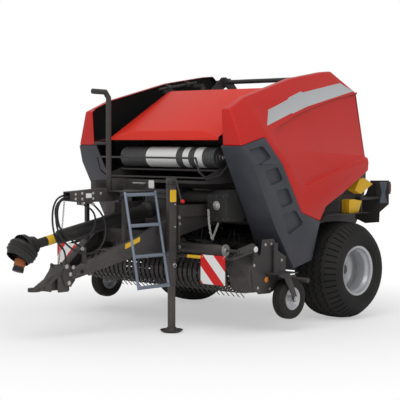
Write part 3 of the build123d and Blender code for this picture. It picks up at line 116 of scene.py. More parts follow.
class BalerStage(bpy.types.PropertyGroup):
    """Light and floor of the studio."""

    key: bpy.props.FloatProperty(name="Key light", description="Power of the key light", default=300,
                                 unit="POWER")
    fill: bpy.props.FloatProperty(name="Fill light", description="Power of the fill light", default=70,
                                  unit="POWER")
    sky: bpy.props.FloatProperty(name="Sky", description="Strength of the light from all round", default=0.55,
                                 min=0)
    floor: colour_setting("Floor", "Colour of the floor", (0.93, 0.93, 0.93))


def settings(name):
    return getattr(bpy.context.scene, "baler_" + name)


# ---- materials --------------------------------------------------------------


def group_tree(name, inputs, outputs):
    """Empty shader node group with named sockets; returns its tree, input node and output node."""
    tree = bpy.data.node_groups.new(name, "ShaderNodeTree")
    for label, kind, default in inputs:
        socket = tree.interface.new_socket(name=label, in_out="INPUT", socket_type=kind)
        socket.default_value = default
    for label, kind in outputs:
        tree.interface.new_socket(name=label, in_out="OUTPUT", socket_type=kind)
    return tree, tree.nodes.new("NodeGroupInput"), tree.nodes.new("NodeGroupOutput")


def node(tree, kind, links=(), **values):
    """Node with set properties; links pairs an input with an output socket, a value is set directly."""
    made = tree.nodes.new(kind)
    for key, value in values.items():
        setattr(made, key, value)
    for key, source in links:
        if isinstance(source, bpy.types.NodeSocket):
            tree.links.new(source, made.inputs[key])
        else:
            made.inputs[key].default_value = source
    return made


def maths(tree, operation, *values):
    """Result of a math node on sockets or numbers."""
    return node(tree, "ShaderNodeMath", enumerate(values), operation=operation).outputs[0]


def blended(tree, share, low, high):
    """Colour mixed from two, each a socket or a colour with its alpha."""
    return node(tree, "ShaderNodeMix", [(0, share), (6, low), (7, high)], data_type="RGBA").outputs[2]


def opaque(colour):
    return (*colour, 1.0)


def object_place(tree):
    return node(tree, "ShaderNodeTexCoord").outputs["Object"]


def object_noise(tree, scale, detail, roughness=0.5, stretch=(1, 1, 1)):
    """Noise on object coordinates, in cycles per metre."""
    mapping = node(tree, "ShaderNodeMapping", [("Vector", object_place(tree))])
    mapping.inputs["Scale"].default_value = stretch
    return node(tree, "ShaderNodeTexNoise", [
        ("Vector", mapping.outputs[0]), ("Scale", scale), ("Detail", detail), ("Roughness", roughness)])


def ramp(tree, source, low, high, result_low=0.0, result_high=1.0):
    made = node(tree, "ShaderNodeMapRange", [
        ("Value", source), ("From Min", low), ("From Max", high), ("To Min", result_low),
        ("To Max", result_high)])
    return made.outputs["Result"]


DUST = (0.30, 0.27, 0.22)


def weathered_group():
    """Paint with road dust that gathers low down and in patches, and slight fading."""
    tree, given, result = group_tree(
        "Weathered Finish",
        [("Color", "NodeSocketColor", (0.5, 0.5, 0.5, 1)), ("Dust Color", "NodeSocketColor", opaque(DUST)),
         ("Dust", "NodeSocketFloat", 0.2), ("Roughness", "NodeSocketFloat", 0.4),
         ("Variation", "NodeSocketFloat", 0.1)],
        [("Color", "NodeSocketColor"), ("Roughness", "NodeSocketFloat")])
    broad = object_noise(tree, 2.2, 4)
    fine = object_noise(tree, 38, 6, 0.65)
    height = node(tree, "ShaderNodeSeparateXYZ", [("Vector", object_place(tree))])
    low_down = ramp(tree, height.outputs["Z"], 0.1, 1.5, 1.0, 0.18)
    patches = ramp(tree, broad.outputs["Fac"], 0.38, 0.68)
    speckle = ramp(tree, fine.outputs["Fac"], 0.42, 0.66, 0.35, 1.0)
    fallen = maths(tree, "MULTIPLY", maths(tree, "MULTIPLY", patches, speckle), low_down)
    amount = maths(tree, "MULTIPLY", fallen, given.outputs["Dust"])
    swing = ramp(tree, broad.outputs["Fac"], 0.3, 0.7, -1.0, 1.0)
    shade = maths(tree, "ADD", maths(tree, "MULTIPLY", swing, given.outputs["Variation"]), 1.0)
    tint = node(tree, "ShaderNodeHueSaturation", [("Value", shade), ("Color", given.outputs["Color"])])
    smudge = ramp(tree, fine.outputs["Fac"], 0.3, 0.7, -0.03, 0.05)
    rough = maths(tree, "ADD", given.outputs["Roughness"], smudge)
    total = maths(tree, "ADD", rough, maths(tree, "MULTIPLY", amount, 0.5))
    tree.links.new(blended(tree, amount, tint.outputs[0], given.outputs["Dust Color"]),
                   result.inputs["Color"])
    tree.links.new(total, result.inputs["Roughness"])
    return tree


def grain_group():
    """Fine surface relief: orange peel of paint, cast skin or moulded grain."""
    tree, given, result = group_tree(
        "Surface Grain", [("Scale", "NodeSocketFloat", 300.0), ("Softness", "NodeSocketFloat", 0.4)],
        [("Height", "NodeSocketFloat")])
    noise = object_noise(tree, 1, 3)
    tree.links.new(given.outputs["Scale"], noise.inputs["Scale"])
    tree.links.new(given.outputs["Softness"], noise.inputs["Roughness"])
    tree.links.new(noise.outputs["Fac"], result.inputs["Height"])
    return tree


def scuff_group():
    """Long thin rubs that show the metal or a paler colour."""
    tree, given, result = group_tree(
        "Scuffs", [("Amount", "NodeSocketFloat", 0.3), ("Scale", "NodeSocketFloat", 6.0)],
        [("Mask", "NodeSocketFloat")])
    streaks = object_noise(tree, 1, 5, 0.7, (1, 1, 9))
    tree.links.new(given.outputs["Scale"], streaks.inputs["Scale"])
    sharp = ramp(tree, streaks.outputs["Fac"], 0.62, 0.72)
    tree.links.new(maths(tree, "MULTIPLY", sharp, given.outputs["Amount"]), result.inputs["Mask"])
    return tree


GROUPS = {}


def use_group(tree, name, **values):
    """Place one of the shared node groups in a material with its own values."""
    made = tree.nodes.new("ShaderNodeGroup")
    made.node_tree = GROUPS[name]
    for key, value in values.items():
        made.inputs[key.replace("_", " ").title()].default_value = value
    return made


METAL_SPECULAR, PAINT_SPECULAR = 0.5, 0.28
COAT_ROUGHNESS = 0.06


def material_of(name, **values):
    """New material with constants on its shader; returns it with its tree and its shader."""
    made = bpy.data.materials.new(name)
    made.use_nodes = True
    shader = made.node_tree.nodes["Principled BSDF"]
    for key, value in values.items():
        shader.inputs[key.replace("_", " ")].default_value = value
    return made, made.node_tree, shader


def finish(name, colour, roughness, dust=0.2, variation=0.06, metallic=0.0, coat=0.0, grain=(300, 0.02),
           scuff=0.0, scuff_colour=(0.3, 0.3, 0.31), dust_colour=DUST):
    """Painted, bare or moulded finish built from the shared groups."""
    made, tree, shader = material_of(name, Metallic=metallic, Coat_Weight=coat, Coat_Roughness=COAT_ROUGHNESS)
    shader.inputs["Specular IOR Level"].default_value = METAL_SPECULAR if metallic else PAINT_SPECULAR
    body = use_group(tree, "weathered", color=opaque(colour), dust=dust, roughness=roughness,
                     variation=variation, dust_color=opaque(dust_colour))
    tone = body.outputs["Color"]
    if scuff:
        rubbed = use_group(tree, "scuffs", amount=scuff)
        tone = blended(tree, rubbed.outputs["Mask"], tone, opaque(scuff_colour))
    tree.links.new(tone, shader.inputs["Base Color"])
    tree.links.new(body.outputs["Roughness"], shader.inputs["Roughness"])
    scale, strength = grain
    relief = use_group(tree, "grain", scale=scale)
    bump = node(tree, "ShaderNodeBump", [
        ("Height", relief.outputs["Height"]), ("Distance", 0.001), ("Strength", strength)])
    tree.links.new(bump.outputs["Normal"], shader.inputs["Normal"])
    return made


MATERIALS = {}


def make_materials():
    GROUPS.update(weathered=weathered_group(), grain=grain_group(), scuffs=scuff_group())
    paints = settings("paints")
    MATERIALS.update(
        panel=finish("Gloss Panel Red", paints.panel, 0.30, 0.04, 0.03, coat=0.2, grain=(90, 0.05)),
        # The hood's red is lighter than the panels' red: painted highlight for its top, lit from above.
        hood=finish("Hood Red", paints.hood, 0.42, 0.05, 0.03, coat=0.15, grain=(120, 0.05)),
        structure=finish("Structure Grey", paints.structure, 0.42, 0.22, 0.12, coat=0.1, grain=(260, 0.25),
                         scuff=0.10),
        shield=finish("Moulded Shield", paints.shield, 0.36, 0.12, 0.08, coat=0.15, grain=(420, 0.3)),
        ladder=finish("Ladder Grey", paints.ladder, 0.45, 0.18, 0.10, metallic=0.35, grain=(200, 0.2),
                      scuff=0.25, scuff_colour=(0.5, 0.52, 0.55)),
        rim=finish("Rim Silver", paints.rim, 0.34, 0.25, 0.06, metallic=0.45, coat=0.2, grain=(300, 0.15)),
        rubber=finish("Tyre Rubber", paints.rubber, 0.66, 0.30, 0.15, grain=(500, 0.5),
                      dust_colour=(0.10, 0.09, 0.075)),
        black=finish("Black Plastic", (0.022, 0.021, 0.021), 0.42, 0.15, 0.08, grain=(600, 0.35)),
        # Near-black painted shade for the inner faces of the panels and shields and for the hole in the
        # drawbar arm.
        inside=finish("Inner Black", (0.012, 0.012, 0.012), 0.5, 0.1, 0.08, grain=(300, 0.2)),
        rollers=finish("Roller Steel", (0.075, 0.070, 0.068), 0.38, 0.3, 0.2, metallic=0.5, grain=(220, 0.3),
                       scuff=0.5, scuff_colour=(0.34, 0.33, 0.32)),
        steel=finish("Bare Steel", (0.52, 0.52, 0.53), 0.28, 0.15, 0.06, metallic=0.9, grain=(700, 0.15)),
        zinc=finish("Zinc Bolts", (0.60, 0.60, 0.58), 0.36, 0.15, 0.10, metallic=0.8, grain=(900, 0.2)),
        dark_bolt=finish("Blackened Bolts", (0.10, 0.095, 0.09), 0.42, 0.2, 0.1, metallic=0.6,
                         grain=(900, 0.2)),
        yellow=finish("Yellow", paints.yellow, 0.40, 0.15, 0.05, coat=0.2, grain=(300, 0.15)),
        hose=finish("Hose Rubber", (0.020, 0.020, 0.021), 0.48, 0.12, 0.1, grain=(1400, 0.4)),
        white=finish("White Plate", (0.78, 0.78, 0.77), 0.38, 0.12, 0.03, grain=(400, 0.1)),
        silver=finish("Silver Strip", (0.60, 0.61, 0.63), 0.30, 0.05, 0.03, metallic=0.55, coat=0.4,
                      grain=(500, 0.08)),
        red_plastic=finish("Red Plastic", (0.60, 0.02, 0.015), 0.36, 0.08, 0.04, grain=(400, 0.15)),
        amber=finish("Amber Lens", (0.80, 0.22, 0.01), 0.16, 0.08, 0.03, coat=0.7, grain=(900, 0.4)),
        casting=finish("Brown Casting", (0.42, 0.12, 0.035), 0.45, 0.2, 0.1, grain=(300, 0.3)),
        tine=finish("Spring Steel", (0.060, 0.055, 0.052), 0.40, 0.35, 0.2, metallic=0.55, grain=(500, 0.2),
                    scuff=0.4),
    )


NODE_FINISHES = {
    "panel": ("side_panel_left", "side_panel_right"),
    "hood": ("hood",),
    "shield": ("side_shield_left", "side_shield_right"),
    "ladder": ("ladder",),
    "rim": ("rim_left", "rim_right", "gauge_rim_left", "gauge_rim_right"),
    "rubber": ("tyre_left", "tyre_right", "gauge_tyre_left", "gauge_tyre_right"),
    "black": ("pto_guard", "pto_boot", "side_box"),
    "rollers": ("front_rollers", "tailgate_rollers", "press_roller"),
    "steel": ("cylinder_rod_left", "cylinder_rod_right", "hose_couplers"),
    "yellow": ("wheel_chocks",),
    "hose": ("hose_brake", "hose_loop", "hose_lamp", "hose_lift"),
    "white": ("warning_boards", "net_roll"),
    "tine": ("pickup_reel",),
}


def paint_nodes():
    finishes = {name: key for key, names in NODE_FINISHES.items() for name in names}
    for name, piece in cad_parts.items():
        material = MATERIALS[finishes.get(name, "structure")]
        if not piece.material_slots:
            piece.data.materials.append(material)
        for place in piece.material_slots:
            place.material = material


# ---- modelling tools --------------------------------------------------------


def deselect():
    if bpy.context.mode != "OBJECT":
        bpy.ops.object.mode_set(mode="OBJECT")
    bpy.ops.object.select_all(action="DESELECT")


def only(piece):
    """Make one piece the only selected and the active one."""
    deselect()
    piece.select_set(True)
    bpy.context.view_layer.objects.active = piece
    return piece


def edit(piece, kind="FACE"):
    """Enter edit mode on a piece with nothing selected; returns its edit mesh."""
    only(piece)
    bpy.ops.object.mode_set(mode="EDIT")
    bpy.ops.mesh.select_mode(type=kind)
    bpy.ops.mesh.select_all(action="DESELECT")
    return bmesh.from_edit_mesh(piece.data)


def leave_edit():
    bpy.ops.object.mode_set(mode="OBJECT")


def picked(piece, what, test):
    """Enter edit mode with the faces, edges or vertices selected that pass a test."""
    mesh = edit(piece, {"faces": "FACE", "edges": "EDGE", "verts": "VERT"}[what])
    for element in getattr(mesh, what):
        if test(element):
            element.select_set(True)
    mesh.select_flush_mode()
    bmesh.update_edit_mesh(piece.data)


def inset(piece, test, *steps, **options):
    """Inset the faces that pass a test, in steps of (thickness, depth)."""
    picked(piece, "faces", test)
    for thickness, depth in steps:
        bpy.ops.mesh.inset(thickness=thickness, depth=depth, **options)
    leave_edit()
    return piece


def settle(piece):
    """Put a piece's place into its mesh."""
    only(piece)
    bpy.ops.object.transform_apply(location=True, rotation=True, scale=True)
    return piece


def named(name):
    piece = bpy.context.object
    piece.name = piece.data.name = name
    return piece


def box(name, low, high):
    """Block between two corners, in metres."""
    deselect()
    low, high = Vector(low), Vector(high)
    bpy.ops.mesh.primitive_cube_add(size=1, location=(low + high) / 2)
    piece = named(name)
    piece.scale = high - low
    return settle(piece)


def rod(name, start, end, radius, sides=16):
    """Cylinder between two points."""
    deselect()
    start, end = Vector(start), Vector(end)
    run = end - start
    bpy.ops.mesh.primitive_cylinder_add(
        vertices=sides, radius=radius, depth=run.length, location=(start + end) / 2,
        rotation=run.to_track_quat("Z", "Y").to_euler())
    return settle(named(name))


def ring(name, centre, normal, radius, thickness, steps=32, sides=10):
    deselect()
    bpy.ops.mesh.primitive_torus_add(
        major_segments=steps, minor_segments=sides, major_radius=radius, minor_radius=thickness,
        location=centre, rotation=Vector(normal).to_track_quat("Z", "Y").to_euler())
    return settle(named(name))


def drawn(name, points, closed=True):
    """Line of vertices extruded from point to point."""
    deselect()
    points = [Vector(p) for p in points]
    bpy.ops.mesh.primitive_plane_add(size=0.01, location=points[0])
    piece = settle(named(name))
    edit(piece, "VERT")
    bpy.ops.mesh.select_all(action="SELECT")
    bpy.ops.mesh.merge(type="CENTER")
    for before, after in zip(points, points[1:]):
        bpy.ops.mesh.extrude_region_move(TRANSFORM_OT_translate={"value": after - before})
    if closed:
        bpy.ops.mesh.select_all(action="SELECT")
        bpy.ops.mesh.remove_doubles(threshold=1e-6)
        bpy.ops.mesh.edge_face_add()
    leave_edit()
    return piece


def slab(name, points, depth):
    """Flat outline drawn out by a vector."""
    piece = drawn(name, points)
    edit(piece)
    bpy.ops.mesh.select_all(action="SELECT")
    bpy.ops.mesh.extrude_region_move(TRANSFORM_OT_translate={"value": Vector(depth)})
    bpy.ops.mesh.select_all(action="SELECT")
    bpy.ops.mesh.normals_make_consistent(inside=False)
    leave_edit()
    return piece


def spun(name, profile, centre, axis, steps):
    """Closed profile of (distance along the axis, radius) turned once round the axis."""
    centre, axis = Vector(centre), Vector(axis).normalized()
    out = axis.orthogonal().normalized()
    piece = drawn(name, [centre + axis * u + out * r for u, r in profile], closed=False)
    edit(piece, "VERT")
    bpy.ops.mesh.select_all(action="SELECT")
    ends = (profile[0], profile[-1])
    if all(radius > 1e-6 for _, radius in ends) and profile[0] != profile[-1]:
        mesh = bmesh.from_edit_mesh(piece.data)
        mesh.edges.new([v for v in mesh.verts if len(v.link_edges) == 1])
        bmesh.update_edit_mesh(piece.data)
        bpy.ops.mesh.select_all(action="SELECT")
    bpy.ops.mesh.spin(steps=steps, angle=math.tau, center=centre, axis=axis, use_auto_merge=True)
    bpy.ops.mesh.select_all(action="SELECT")
    bpy.ops.mesh.remove_doubles(threshold=1e-5)
    bpy.ops.mesh.normals_make_consistent(inside=False)
    leave_edit()
    return piece


def modified(piece, kind, **values):
    """Apply a modifier with the given settings."""
    only(piece)
    made = piece.modifiers.new(kind.title(), kind)
    for key, value in values.items():
        setattr(made, key, value)
    bpy.ops.object.modifier_apply(modifier=made.name)
    return piece


def bevelled(piece, width, segments=2, angle=35, **values):
    """Round a piece's sharp edges."""
    return modified(piece, "BEVEL", width=width, segments=segments, limit_method="ANGLE",
                    angle_limit=math.radians(angle), **values)


def smoothed(piece, angle=35):
    only(piece)
    bpy.ops.object.shade_smooth_by_angle(angle=math.radians(angle))
    return piece


def copied(piece, places, name):
    """One piece made of copies of a model, each moved by a matrix; the model itself is removed."""
    made = []
    for place in places:
        twin = piece.copy()
        twin.data = piece.data.copy()
        twin.data.transform(place)
        bpy.context.scene.collection.objects.link(twin)
        made.append(twin)
    bpy.data.objects.remove(piece)
    return joined(made, name)


def joined(pieces, name):
    deselect()
    for piece in pieces:
        piece.select_set(True)
    bpy.context.view_layer.objects.active = pieces[0]
    if len(pieces) > 1:
        bpy.ops.object.join()
    return named(name)


def facing(place, direction, turn=0.0):
    """Matrix that stands a model, made upright at the world's origin, on a place along a direction."""
    tilt = Vector(direction).to_track_quat("Z", "Y").to_matrix().to_4x4()
    return Matrix.Translation(Vector(place)) @ tilt @ Matrix.Rotation(turn, 4, "Z")


def fitted(piece, body, material, replaces=(), smooth=35):
    """Give a finished piece smooth shading, its material and its body, and hide the nodes it replaces."""
    if smooth and piece.type == "MESH":
        smoothed(piece, smooth)
    piece.data.materials.clear()
    piece.data.materials.append(MATERIALS[material])
    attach(piece, body)
    if replaces:
        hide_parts(*replaces)
    return piece


def bolt_model(size):
    """Hexagon head on a washer, standing up from the world's origin."""
    head = rod("bolt", (0, 0, 0), (0, 0, size * 0.65), size, 6)
    inset(head, lambda f: f.normal.z > 0.9, (size * 0.18, size * 0.10))
    return joined([head, rod("washer", (0, 0, -0.001), (0, 0, size * 0.2), size * 1.45, 16)], "bolt")


def bolts(name, body, places, size=0.008, material="zinc"):
    """Bolt heads at (point, direction) places, as one piece."""
    rng = random.Random(name)
    return fitted(copied(bolt_model(size), [facing(p, d, rng.random()) for p, d in places], name), body,
                  material)


def softened(node_name, name, width, material, body):
    """Copy of a CAD node with its facets merged and its edges rounded, shown in the node's place."""
    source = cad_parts[node_name]
    piece = bpy.data.objects.new(name, source.data.copy())
    piece.data.name = name
    piece.data.transform(source.matrix_world)
    bpy.context.scene.collection.objects.link(piece)
    edit(piece)
    bpy.ops.mesh.select_all(action="SELECT")
    bpy.ops.mesh.remove_doubles(threshold=1e-5)
    bpy.ops.mesh.dissolve_limited(angle_limit=math.radians(0.6))
    leave_edit()
    bevelled(piece, width, angle=30)
    return fitted(piece, body, material, (node_name,), 30)


# ---- stage ------------------------------------------------------------------
CAMERA_PLACE = (8.2326, AXLE - 9.6712, 1.6936)
CAMERA_TURN = (87.22, 0.0, 43.18)
CAMERA_LENS = 114.69
FADE, FADE_NEAR = (1.6, 3.8), 0.45      # where the floor's shadow fades out, and its share of white near by


def seen_white(tree):
    """One for the rays that see the backdrop as plain white, nought for all other light."""
    rays = node(tree, "ShaderNodeLightPath")
    return maths(tree, "MAXIMUM", rays.outputs["Is Camera Ray"], rays.outputs["Is Transmission Ray"])


def shared_out(tree, share, plain, white, out):
    """Send a mix of a plain and a white shader to an output."""
    mixed = node(tree, "ShaderNodeMixShader", [("Fac", share), (1, plain.outputs[0]), (2, white.outputs[0])])
    tree.links.new(mixed.outputs[0], out.inputs["Surface"])


def make_floor(colour):
    deselect()
    bpy.ops.mesh.primitive_plane_add(size=60, location=(0, 0, 0))
    floor = named("floor")
    made = bpy.data.materials.new("Studio Floor")
    made.use_nodes = True
    tree = made.node_tree
    tree.nodes.clear()
    out = node(tree, "ShaderNodeOutputMaterial")
    plain = node(tree, "ShaderNodeBsdfDiffuse", [("Color", opaque(colour))])
    glow = node(tree, "ShaderNodeEmission", [("Color", (1, 1, 1, 1)), ("Strength", 1.0)])
    far = node(tree, "ShaderNodeVectorMath", [("Vector", object_place(tree))], operation="LENGTH")
    fade = ramp(tree, far.outputs["Value"], *FADE, FADE_NEAR, 1.0)
    shared_out(tree, maths(tree, "MULTIPLY", fade, seen_white(tree)), plain, glow, out)
    floor.data.materials.append(made)
    floor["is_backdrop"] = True


def make_world(strength):
    world = bpy.data.worlds.new("Studio")
    world.use_nodes = True
    tree = world.node_tree
    tree.nodes.clear()
    out = node(tree, "ShaderNodeOutputWorld")
    sky = node(tree, "ShaderNodeBackground", [("Color", (1, 1, 1, 1)), ("Strength", strength)])
    white = node(tree, "ShaderNodeBackground", [("Color", (1, 1, 1, 1)), ("Strength", 1.0)])
    shared_out(tree, seen_white(tree), sky, white, out)
    bpy.context.scene.world = world


def soft_light(name, place, target, size, power):
    deselect()
    aim = (Vector(target) - Vector(place)).to_track_quat("-Z", "Y").to_euler()
    bpy.ops.object.light_add(type="AREA", location=place, rotation=aim)
    light = bpy.context.object
    light.name = name
    light.data.shape = "SQUARE"
    light.data.size = size
    light.data.energy = power


class BalerStageOperator(bpy.types.Operator):
    """Set up the floor, the backdrop, the soft lights and the camera"""

    bl_idname = "baler.stage"
    bl_label = "Stage and Camera"

    def execute(self, context):
        stage = settings("stage")
        make_floor(stage.floor)
        make_world(stage.sky)
        soft_light("key", (2.5, -5.0, 8.0), (0, 0, 1.0), 6.0, stage.key)
        soft_light("fill", (9.0, -2.5, 5.0), (0, 0, 1.0), 5.0, stage.fill)
        bpy.ops.object.camera_add(location=CAMERA_PLACE, rotation=[math.radians(a) for a in CAMERA_TURN])
        camera = context.object
        camera.data.lens = CAMERA_LENS
        camera.data.clip_end = 100
        context.scene.camera = camera
        context.scene.view_settings.view_transform = "Standard"
        return {"FINISHED"}


class BalerPaintOperator(bpy.types.Operator):
    """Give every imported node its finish"""

    bl_idname = "baler.paint"
    bl_label = "Paint Nodes"

    def execute(self, context):
        make_materials()
        paint_nodes()
        return {"FINISHED"}


# ---- hoses ------------------------------------------------------------------
HOSE_D = 0.016
HOSES = {
    "hose_brake": (0.758, [(80, -2600, 1215), (80, -2700, 1215), (84, -2772, 1140), (88, -2792, 1030),
                           (88, -2778, 915), (82, -2728, 810), (62, -2622, 742), (62, -2622, 640)]),
    "hose_loop": (1.085, [(100, -2600, 1190), (100, -2690, 1190), (104, -2745, 1120), (108, -2752, 1020),
                          (112, -2720, 925), (112, -2650, 858), (112, -2540, 830), (112, -2425, 850),
                          (112, -2340, 915), (112, -2322, 1015), (112, -2378, 1096), (112, -2470, 1132)]),
    "hose_lamp": (0.634, [(76, -2600, 1180), (76, -2696, 1180), (78, -2752, 1106), (80, -2744, 1014),
                          (82, -2700, 932), (86, -2628, 868), (90, -2556, 814), (94, -2485, 768)]),
    "hose_lift": (1.395, [(126, -2600, 1205), (126, -2710, 1205), (134, -2778, 1130), (144, -2802, 1015),
                          (156, -2780, 900), (170, -2708, 805), (184, -2608, 740), (194, -2490, 712),
                          (192, -2376, 735), (176, -2290, 800), (156, -2246, 890), (138, -2244, 985),
                          (122, -2282, 1066), (112, -2352, 1126)]),
}


def hose(name, route):
    """Hose as one smooth line through the frame's route."""
    line = bpy.data.curves.new(name, "CURVE")
    line.dimensions = "3D"
    line.bevel_depth = HOSE_D / 2
    line.bevel_resolution = 5
    line.resolution_u = 10
    line.use_fill_caps = True
    spline = line.splines.new("NURBS")
    spline.points.add(len(route) - 1)
    for point, place in zip(spline.points, route):
        point.co = (*at(*place), 1.0)
    spline.order_u = 3
    spline.use_endpoint_u = True
    piece = bpy.data.objects.new(name + "_line", line)
    bpy.context.scene.collection.objects.link(piece)
    return piece


COUPLER = [(0, 0.0135), (0.004, 0.0135), (0.006, 0.0115), (0.016, 0.0115), (0.018, 0.0168), (0.034, 0.0168),
           (0.036, 0.0125), (0.050, 0.0125), (0.052, 0.0105), (0.062, 0.0105), (0.062, 0.006), (0.045, 0.006),
           (0.045, 0.0), (0, 0.0)]


def coupler(name, route):
    """Push-in coupler with a knurled sleeve, at the end of a hose."""
    end = at(*route[-1])
    way = (end - at(*route[-2])).normalized()
    middle = end + way * 0.026
    return inset(
        spun(name, COUPLER, end, way, 24), lambda f: abs((f.calc_center_median() - middle).dot(way)) < 0.002
        and f.calc_area() > 1e-5 and (f.calc_center_median() - middle).length > 0.016,
        (0.0006, -0.0008), use_individual=True)


class BalerHosesOperator(bpy.types.Operator):
    """Hang the four hoses with their couplers"""

    bl_idname = "baler.hoses"
    bl_label = "Hoses"

    def execute(self, context):
        for name, (length, route) in HOSES.items():
            piece = fitted(hose(name, route), "chassis", "hose", (name,))
            if name != "hose_brake":
                end = coupler(name.replace("hose", "coupler"), route)
                taken = ("hose_couplers",) if name == "hose_loop" else ()
                fitted(end, "chassis", "zinc", taken)
        return {"FINISHED"}


# ---- tyres and rims ---------------------------------------------------------
TYRE_BEAD = [(213, 217), (219, 234), (228, 246), (241, 262), (246, 264), (247, 261), (253, 286), (255, 291),
             (258, 291), (260, 318), (257, 336), (250, 351), (248, 356)]
TYRE_SHOULDER = [(240, 366), (222, 385), (203, 402), (178, 422), (156, 437)]
GROOVES = (-112, -38, 38, 112)
TREAD_HALF, TREAD_RADII = 0.15, (0.43, 0.4548)
SHOULDER_RADII = (0.368, 0.438)
ZIGZAG = 0.010                          # how far a groove swings to each side, in metres
NOTCH_DEPTH, NOTCH_BORDER = 0.012, 0.004


def tread_profile(half_side, shoulder, grooves, crown, width, depth):
    """Right half of a tyre's outline, then its tread with square grooves, then the left half."""
    tread = []
    for middle in sorted(grooves, reverse=True):
        tread += [(middle + width, crown(middle + width)), (middle + width * 0.7, crown(middle) - depth),
                  (middle - width * 0.7, crown(middle) - depth), (middle - width, crown(middle - width))]
    right = half_side + shoulder
    return right + tread + [(-x, r) for x, r in reversed(right)]


def in_metres(profile):
    return [(x / 1000, r / 1000) for x, r in profile]


def middle_of(node_name):
    low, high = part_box(node_name)
    return (Vector(low) + Vector(high)) / 2


def turned_tyre(name, node_name, profile, steps):
    """Tyre turned from an outline in millimetres round the middle of a node; returns it and that middle."""
    centre = middle_of(node_name)
    return spun(name, in_metres(profile), centre, (1, 0, 0), steps), centre


def step_of(spot, centre, steps):
    """Angle of a spot about an axle along X, in steps of a whole turn."""
    return math.atan2(spot.z - centre.z, spot.y - centre.y) % math.tau / math.tau * steps


def radius_of(spot, centre):
    return math.hypot(spot.z - centre.z, spot.y - centre.y)


def zigzag(piece, centre, steps, half, radii, shift):
    """Move every second pair of rings' groove vertices sideways, both ways."""
    for turn, way in ((0, 1), (1, -1)):
        picked(piece, "verts", lambda v: (round(step_of(v.co, centre, steps)) // 2) % 2 == turn
               and abs(v.co.x - centre.x) < half and radii[0] < radius_of(v.co, centre) < radii[1])
        bpy.ops.transform.translate(value=(way * shift, 0, 0))
        leave_edit()


def notched(piece, centre, steps, radii, side_from):
    """Cut notches between the shoulder blocks."""
    def taken(face):
        spot = face.calc_center_median()
        return (int(step_of(spot, centre, steps)) % 4 == 0 and abs(spot.x - centre.x) > side_from
                and radii[0] < radius_of(spot, centre) < radii[1])

    return inset(piece, taken, (NOTCH_BORDER, -NOTCH_DEPTH), use_boundary=True)


def main_tyre(name):
    tyres = settings("tyres")
    steps = 4 * tyres.sidewall_blocks
    profile = tread_profile(TYRE_BEAD, TYRE_SHOULDER, GROOVES, lambda x: 454.5 - (x / 150) ** 2 * 15, 9,
                            tyres.groove_depth * 1000)
    piece, centre = turned_tyre("main_tyre_" + name, "tyre_" + name, profile, steps)
    zigzag(piece, centre, steps, TREAD_HALF, TREAD_RADII, ZIGZAG)
    notched(piece, centre, steps, SHOULDER_RADII, TREAD_HALF)
    fitted(piece, "wheel_" + name, "rubber", ("tyre_" + name,), 28)


GAUGE_BEAD = [(45, 100.5), (46, 106), (52, 118), (55, 134), (54.8, 150), (51, 163), (47, 170)]
GAUGE_GROOVES = (-26, 0, 26)


def gauge_tyre(name):
    profile = tread_profile(GAUGE_BEAD, [(40, 176)], GAUGE_GROOVES, lambda x: 181.8 - (x / 40) ** 2 * 4, 4, 7)
    piece, _ = turned_tyre("small_tyre_" + name, "gauge_tyre_" + name, profile, 64)
    fitted(piece, "gauge_" + name, "rubber", ("gauge_tyre_" + name,), 30)


class BalerTyresOperator(bpy.types.Operator):
    """Model the main tyres with their zigzag tread, and the ribbed tyres of the gauge wheels"""

    bl_idname = "baler.tyres"
    bl_label = "Tyres"

    def execute(self, context):
        for name, _ in SIDES:
            main_tyre(name)
            gauge_tyre(name)
        return {"FINISHED"}


# ---- side panels ------------------------------------------------------------
LEAN = 0.355                            # how fast the panels lean in with height
LEAN_X, LEAN_Z = 935, 1932              # a half width and height on the leaning face
FLAT_X = 1100
SHEET = 0.003
FOLD_ANGLE = 22                         # folds sharper than this are rounded
SKIN = [(-1512, 1945), (-1490, 1625), (-1150, 1700), (-734, 1023), (-467, 935), (-375, 1066), (-119, 1181),
        (278, 1383), (290, 1516), (287, 1609), (415, 2118), (80, 2330), (-60, 2318), (-565, 2240),
        (-1280, 2052)]
SHIELD = [(-1489.6, 1624.6), (-1150.2, 1699.5), (-734.3, 1022.7), (-467.5, 934.5), (-590, 590.4),
          (-849.8, 530.4), (-1099.7, 900)]
FIELD = [(-1016, 1636), (-985, 1764), (-650, 1885), (-400, 1958), (60, 2062), (470, 2130), (470, 1560),
         (287, 1512), (-260, 1385), (-700, 1262)]
POCKETS = (
    [(-1412, 1588), (-1214, 1625), (-1132, 1520), (-1320, 1462)],
    [(-1253, 1409), (-1077, 1441), (-994, 1325), (-1165, 1281)],
    [(-1104, 1231), (-939, 1253), (-854, 1117), (-1021, 1079)],
    [(-1021, 1017), (-825, 1053), (-711, 927), (-923, 835)],
)
EVERYWHERE = [(-1800, 300), (-1800, 2450), (700, 2450), (700, 300)]
STRIP = [(-1006, 1945), (-865, 1987), (-701, 2041), (-668, 2062), (-473, 2122), (-445, 2113), (171, 2220),
         (349, 2145), (-428, 1985), (-677, 1915), (-690, 1920), (-1081, 1802)]


def lean_x(z):
    return min(FLAT_X, LEAN_X + LEAN * (LEAN_Z - z))


def trimmed(piece, point, normal):
    """Cut off what lies beyond a plane and close the cut."""
    edit(piece)
    bpy.ops.mesh.select_all(action="SELECT")
    bpy.ops.mesh.bisect(plane_co=point, plane_no=normal, use_fill=True, clear_outer=True)
    leave_edit()
    return piece


def cut(piece, cutter):
    """Take one solid out of another."""
    modified(piece, "BOOLEAN", operation="DIFFERENCE", solver="EXACT", object=cutter)
    bpy.data.objects.remove(cutter)
    return piece


